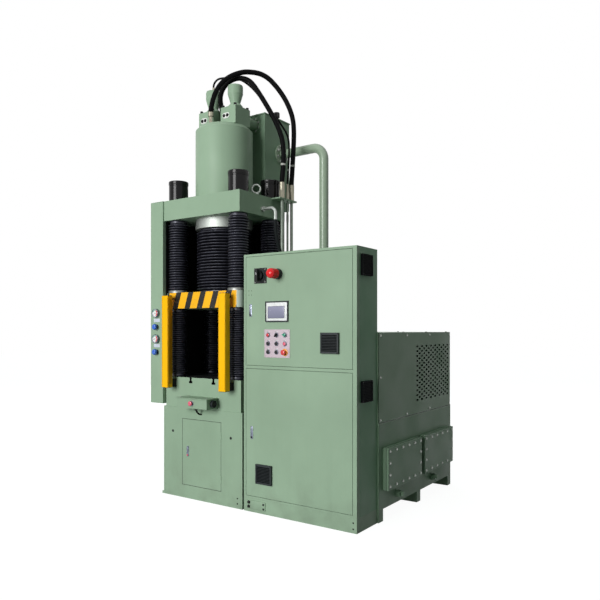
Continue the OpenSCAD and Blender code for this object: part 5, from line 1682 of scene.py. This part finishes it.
def hoses() -> list[HoseRun]:
    """Lists the hoses, each on the route of its solid."""
    return [
        HoseRun(
            "pressure_hose", (0.483, 0.321, 2.656), (-0.019, -0.150, 3.250), 3.6115,
            [(0, 0), (-0.007, 0.1), (-0.015, 0.205), (-0.023, 0.31), (-0.029, 0.41), (-0.029, 0.505),
             (-0.019, 0.585), (0.006, 0.656), (0.044, 0.723), (0.092, 0.787), (0.148, 0.845), (0.212, 0.9),
             (0.285, 0.95), (0.36, 0.981), (0.435, 0.996), (0.51, 1)],
            [(0.59, 0.992), (0.67, 0.95), (0.745, 0.885), (0.815, 0.795), (0.878, 0.675), (0.928, 0.525),
             (0.965, 0.35), (0.989, 0.165), (1, 0)],
            0.042, Paints.HOSE, (0.071,)),
        HoseRun(
            "supply_hose", (0.483, 0.183, 2.656), (0.0, 0.0, 3.204), 3.572,
            [(0, 0), (-0.011, 0.08), (-0.022, 0.16), (-0.028, 0.24), (-0.022, 0.318), (-0.003, 0.39),
             (0.034, 0.463), (0.09, 0.54), (0.165, 0.625), (0.255, 0.715), (0.345, 0.799), (0.43, 0.874),
             (0.495, 0.926), (0.565, 0.966), (0.654, 0.991), (0.752, 1)],
            [(0.85, 0.978), (0.939, 0.915), (1.009, 0.816), (1.054, 0.692), (1.07, 0.554), (1.058, 0.41),
             (1.037, 0.26), (1.012, 0.11), (1, 0)],
            0.042, Paints.HOSE, (0.085,)),
        HoseRun(
            "pilot_hose", (0.483, 0.262, 2.656), (-0.125, 0.0, 3.528), 3.606,
            [(0, 0), (-0.008, 0.1), (-0.016, 0.2), (-0.021, 0.307), (-0.011, 0.406), (0.015, 0.461),
             (0.061, 0.514), (0.117, 0.574), (0.164, 0.621), (0.217, 0.666), (0.277, 0.719), (0.35, 0.785),
             (0.43, 0.857), (0.524, 0.923), (0.618, 0.968), (0.699, 0.988), (0.788, 0.997), (0.892, 1)],
            [(0.933, 0.933), (0.967, 0.741), (0.991, 0.452), (1, 0.141), (1, 0)],
            0.017, Paints.HOSE, (0.057,)),
        HoseRun(
            "drain_hose", (0.560, -0.013, 2.307), (0.560, 0.150, 1.449), 1.449,
            [(0, 0), (0.02, 0.07), (0.08, 0.14), (0.2, 0.21), (0.36, 0.28), (0.54, 0.35), (0.71, 0.42),
             (0.85, 0.5), (0.94, 0.58), (0.985, 0.68), (1, 0.8), (1, 0.9), (1, 1)],
            [], 0.030, Paints.GREY_HOSE),
    ]


def bellows() -> list[Bellows]:
    """Lists the bellows: above and below the slide, and round the ram."""
    return [
        Bellows("upper_bellows", 2.350, 1.728, 0.084, 0.020, 26, COLUMNS),
        Bellows("lower_bellows", 1.013, 1.593, 0.077, 0.016, 30, COLUMNS),
        Bellows("ram_bellows", 2.265, 1.728, 0.234, 0.046, 20, [(0.0, 0.0)], 72, 0.02),
    ]


def main() -> None:
    """Builds the scene in order: camera and hoses first, then the finishes and the small pieces."""
    logging.basicConfig(level=logging.INFO, format="%(name)s: %(message)s")
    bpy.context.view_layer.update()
    Studio().build()
    for hose in hoses():
        hose.build()
    Skins().build()
    for each in bellows():
        each.build()
    for assembly in (GaugeBoard(), LightPosts(), Console(), Cabinet(), PowerUnit(), PressFrame()):
        assembly.build()


if __name__ == "__main__":
    main()
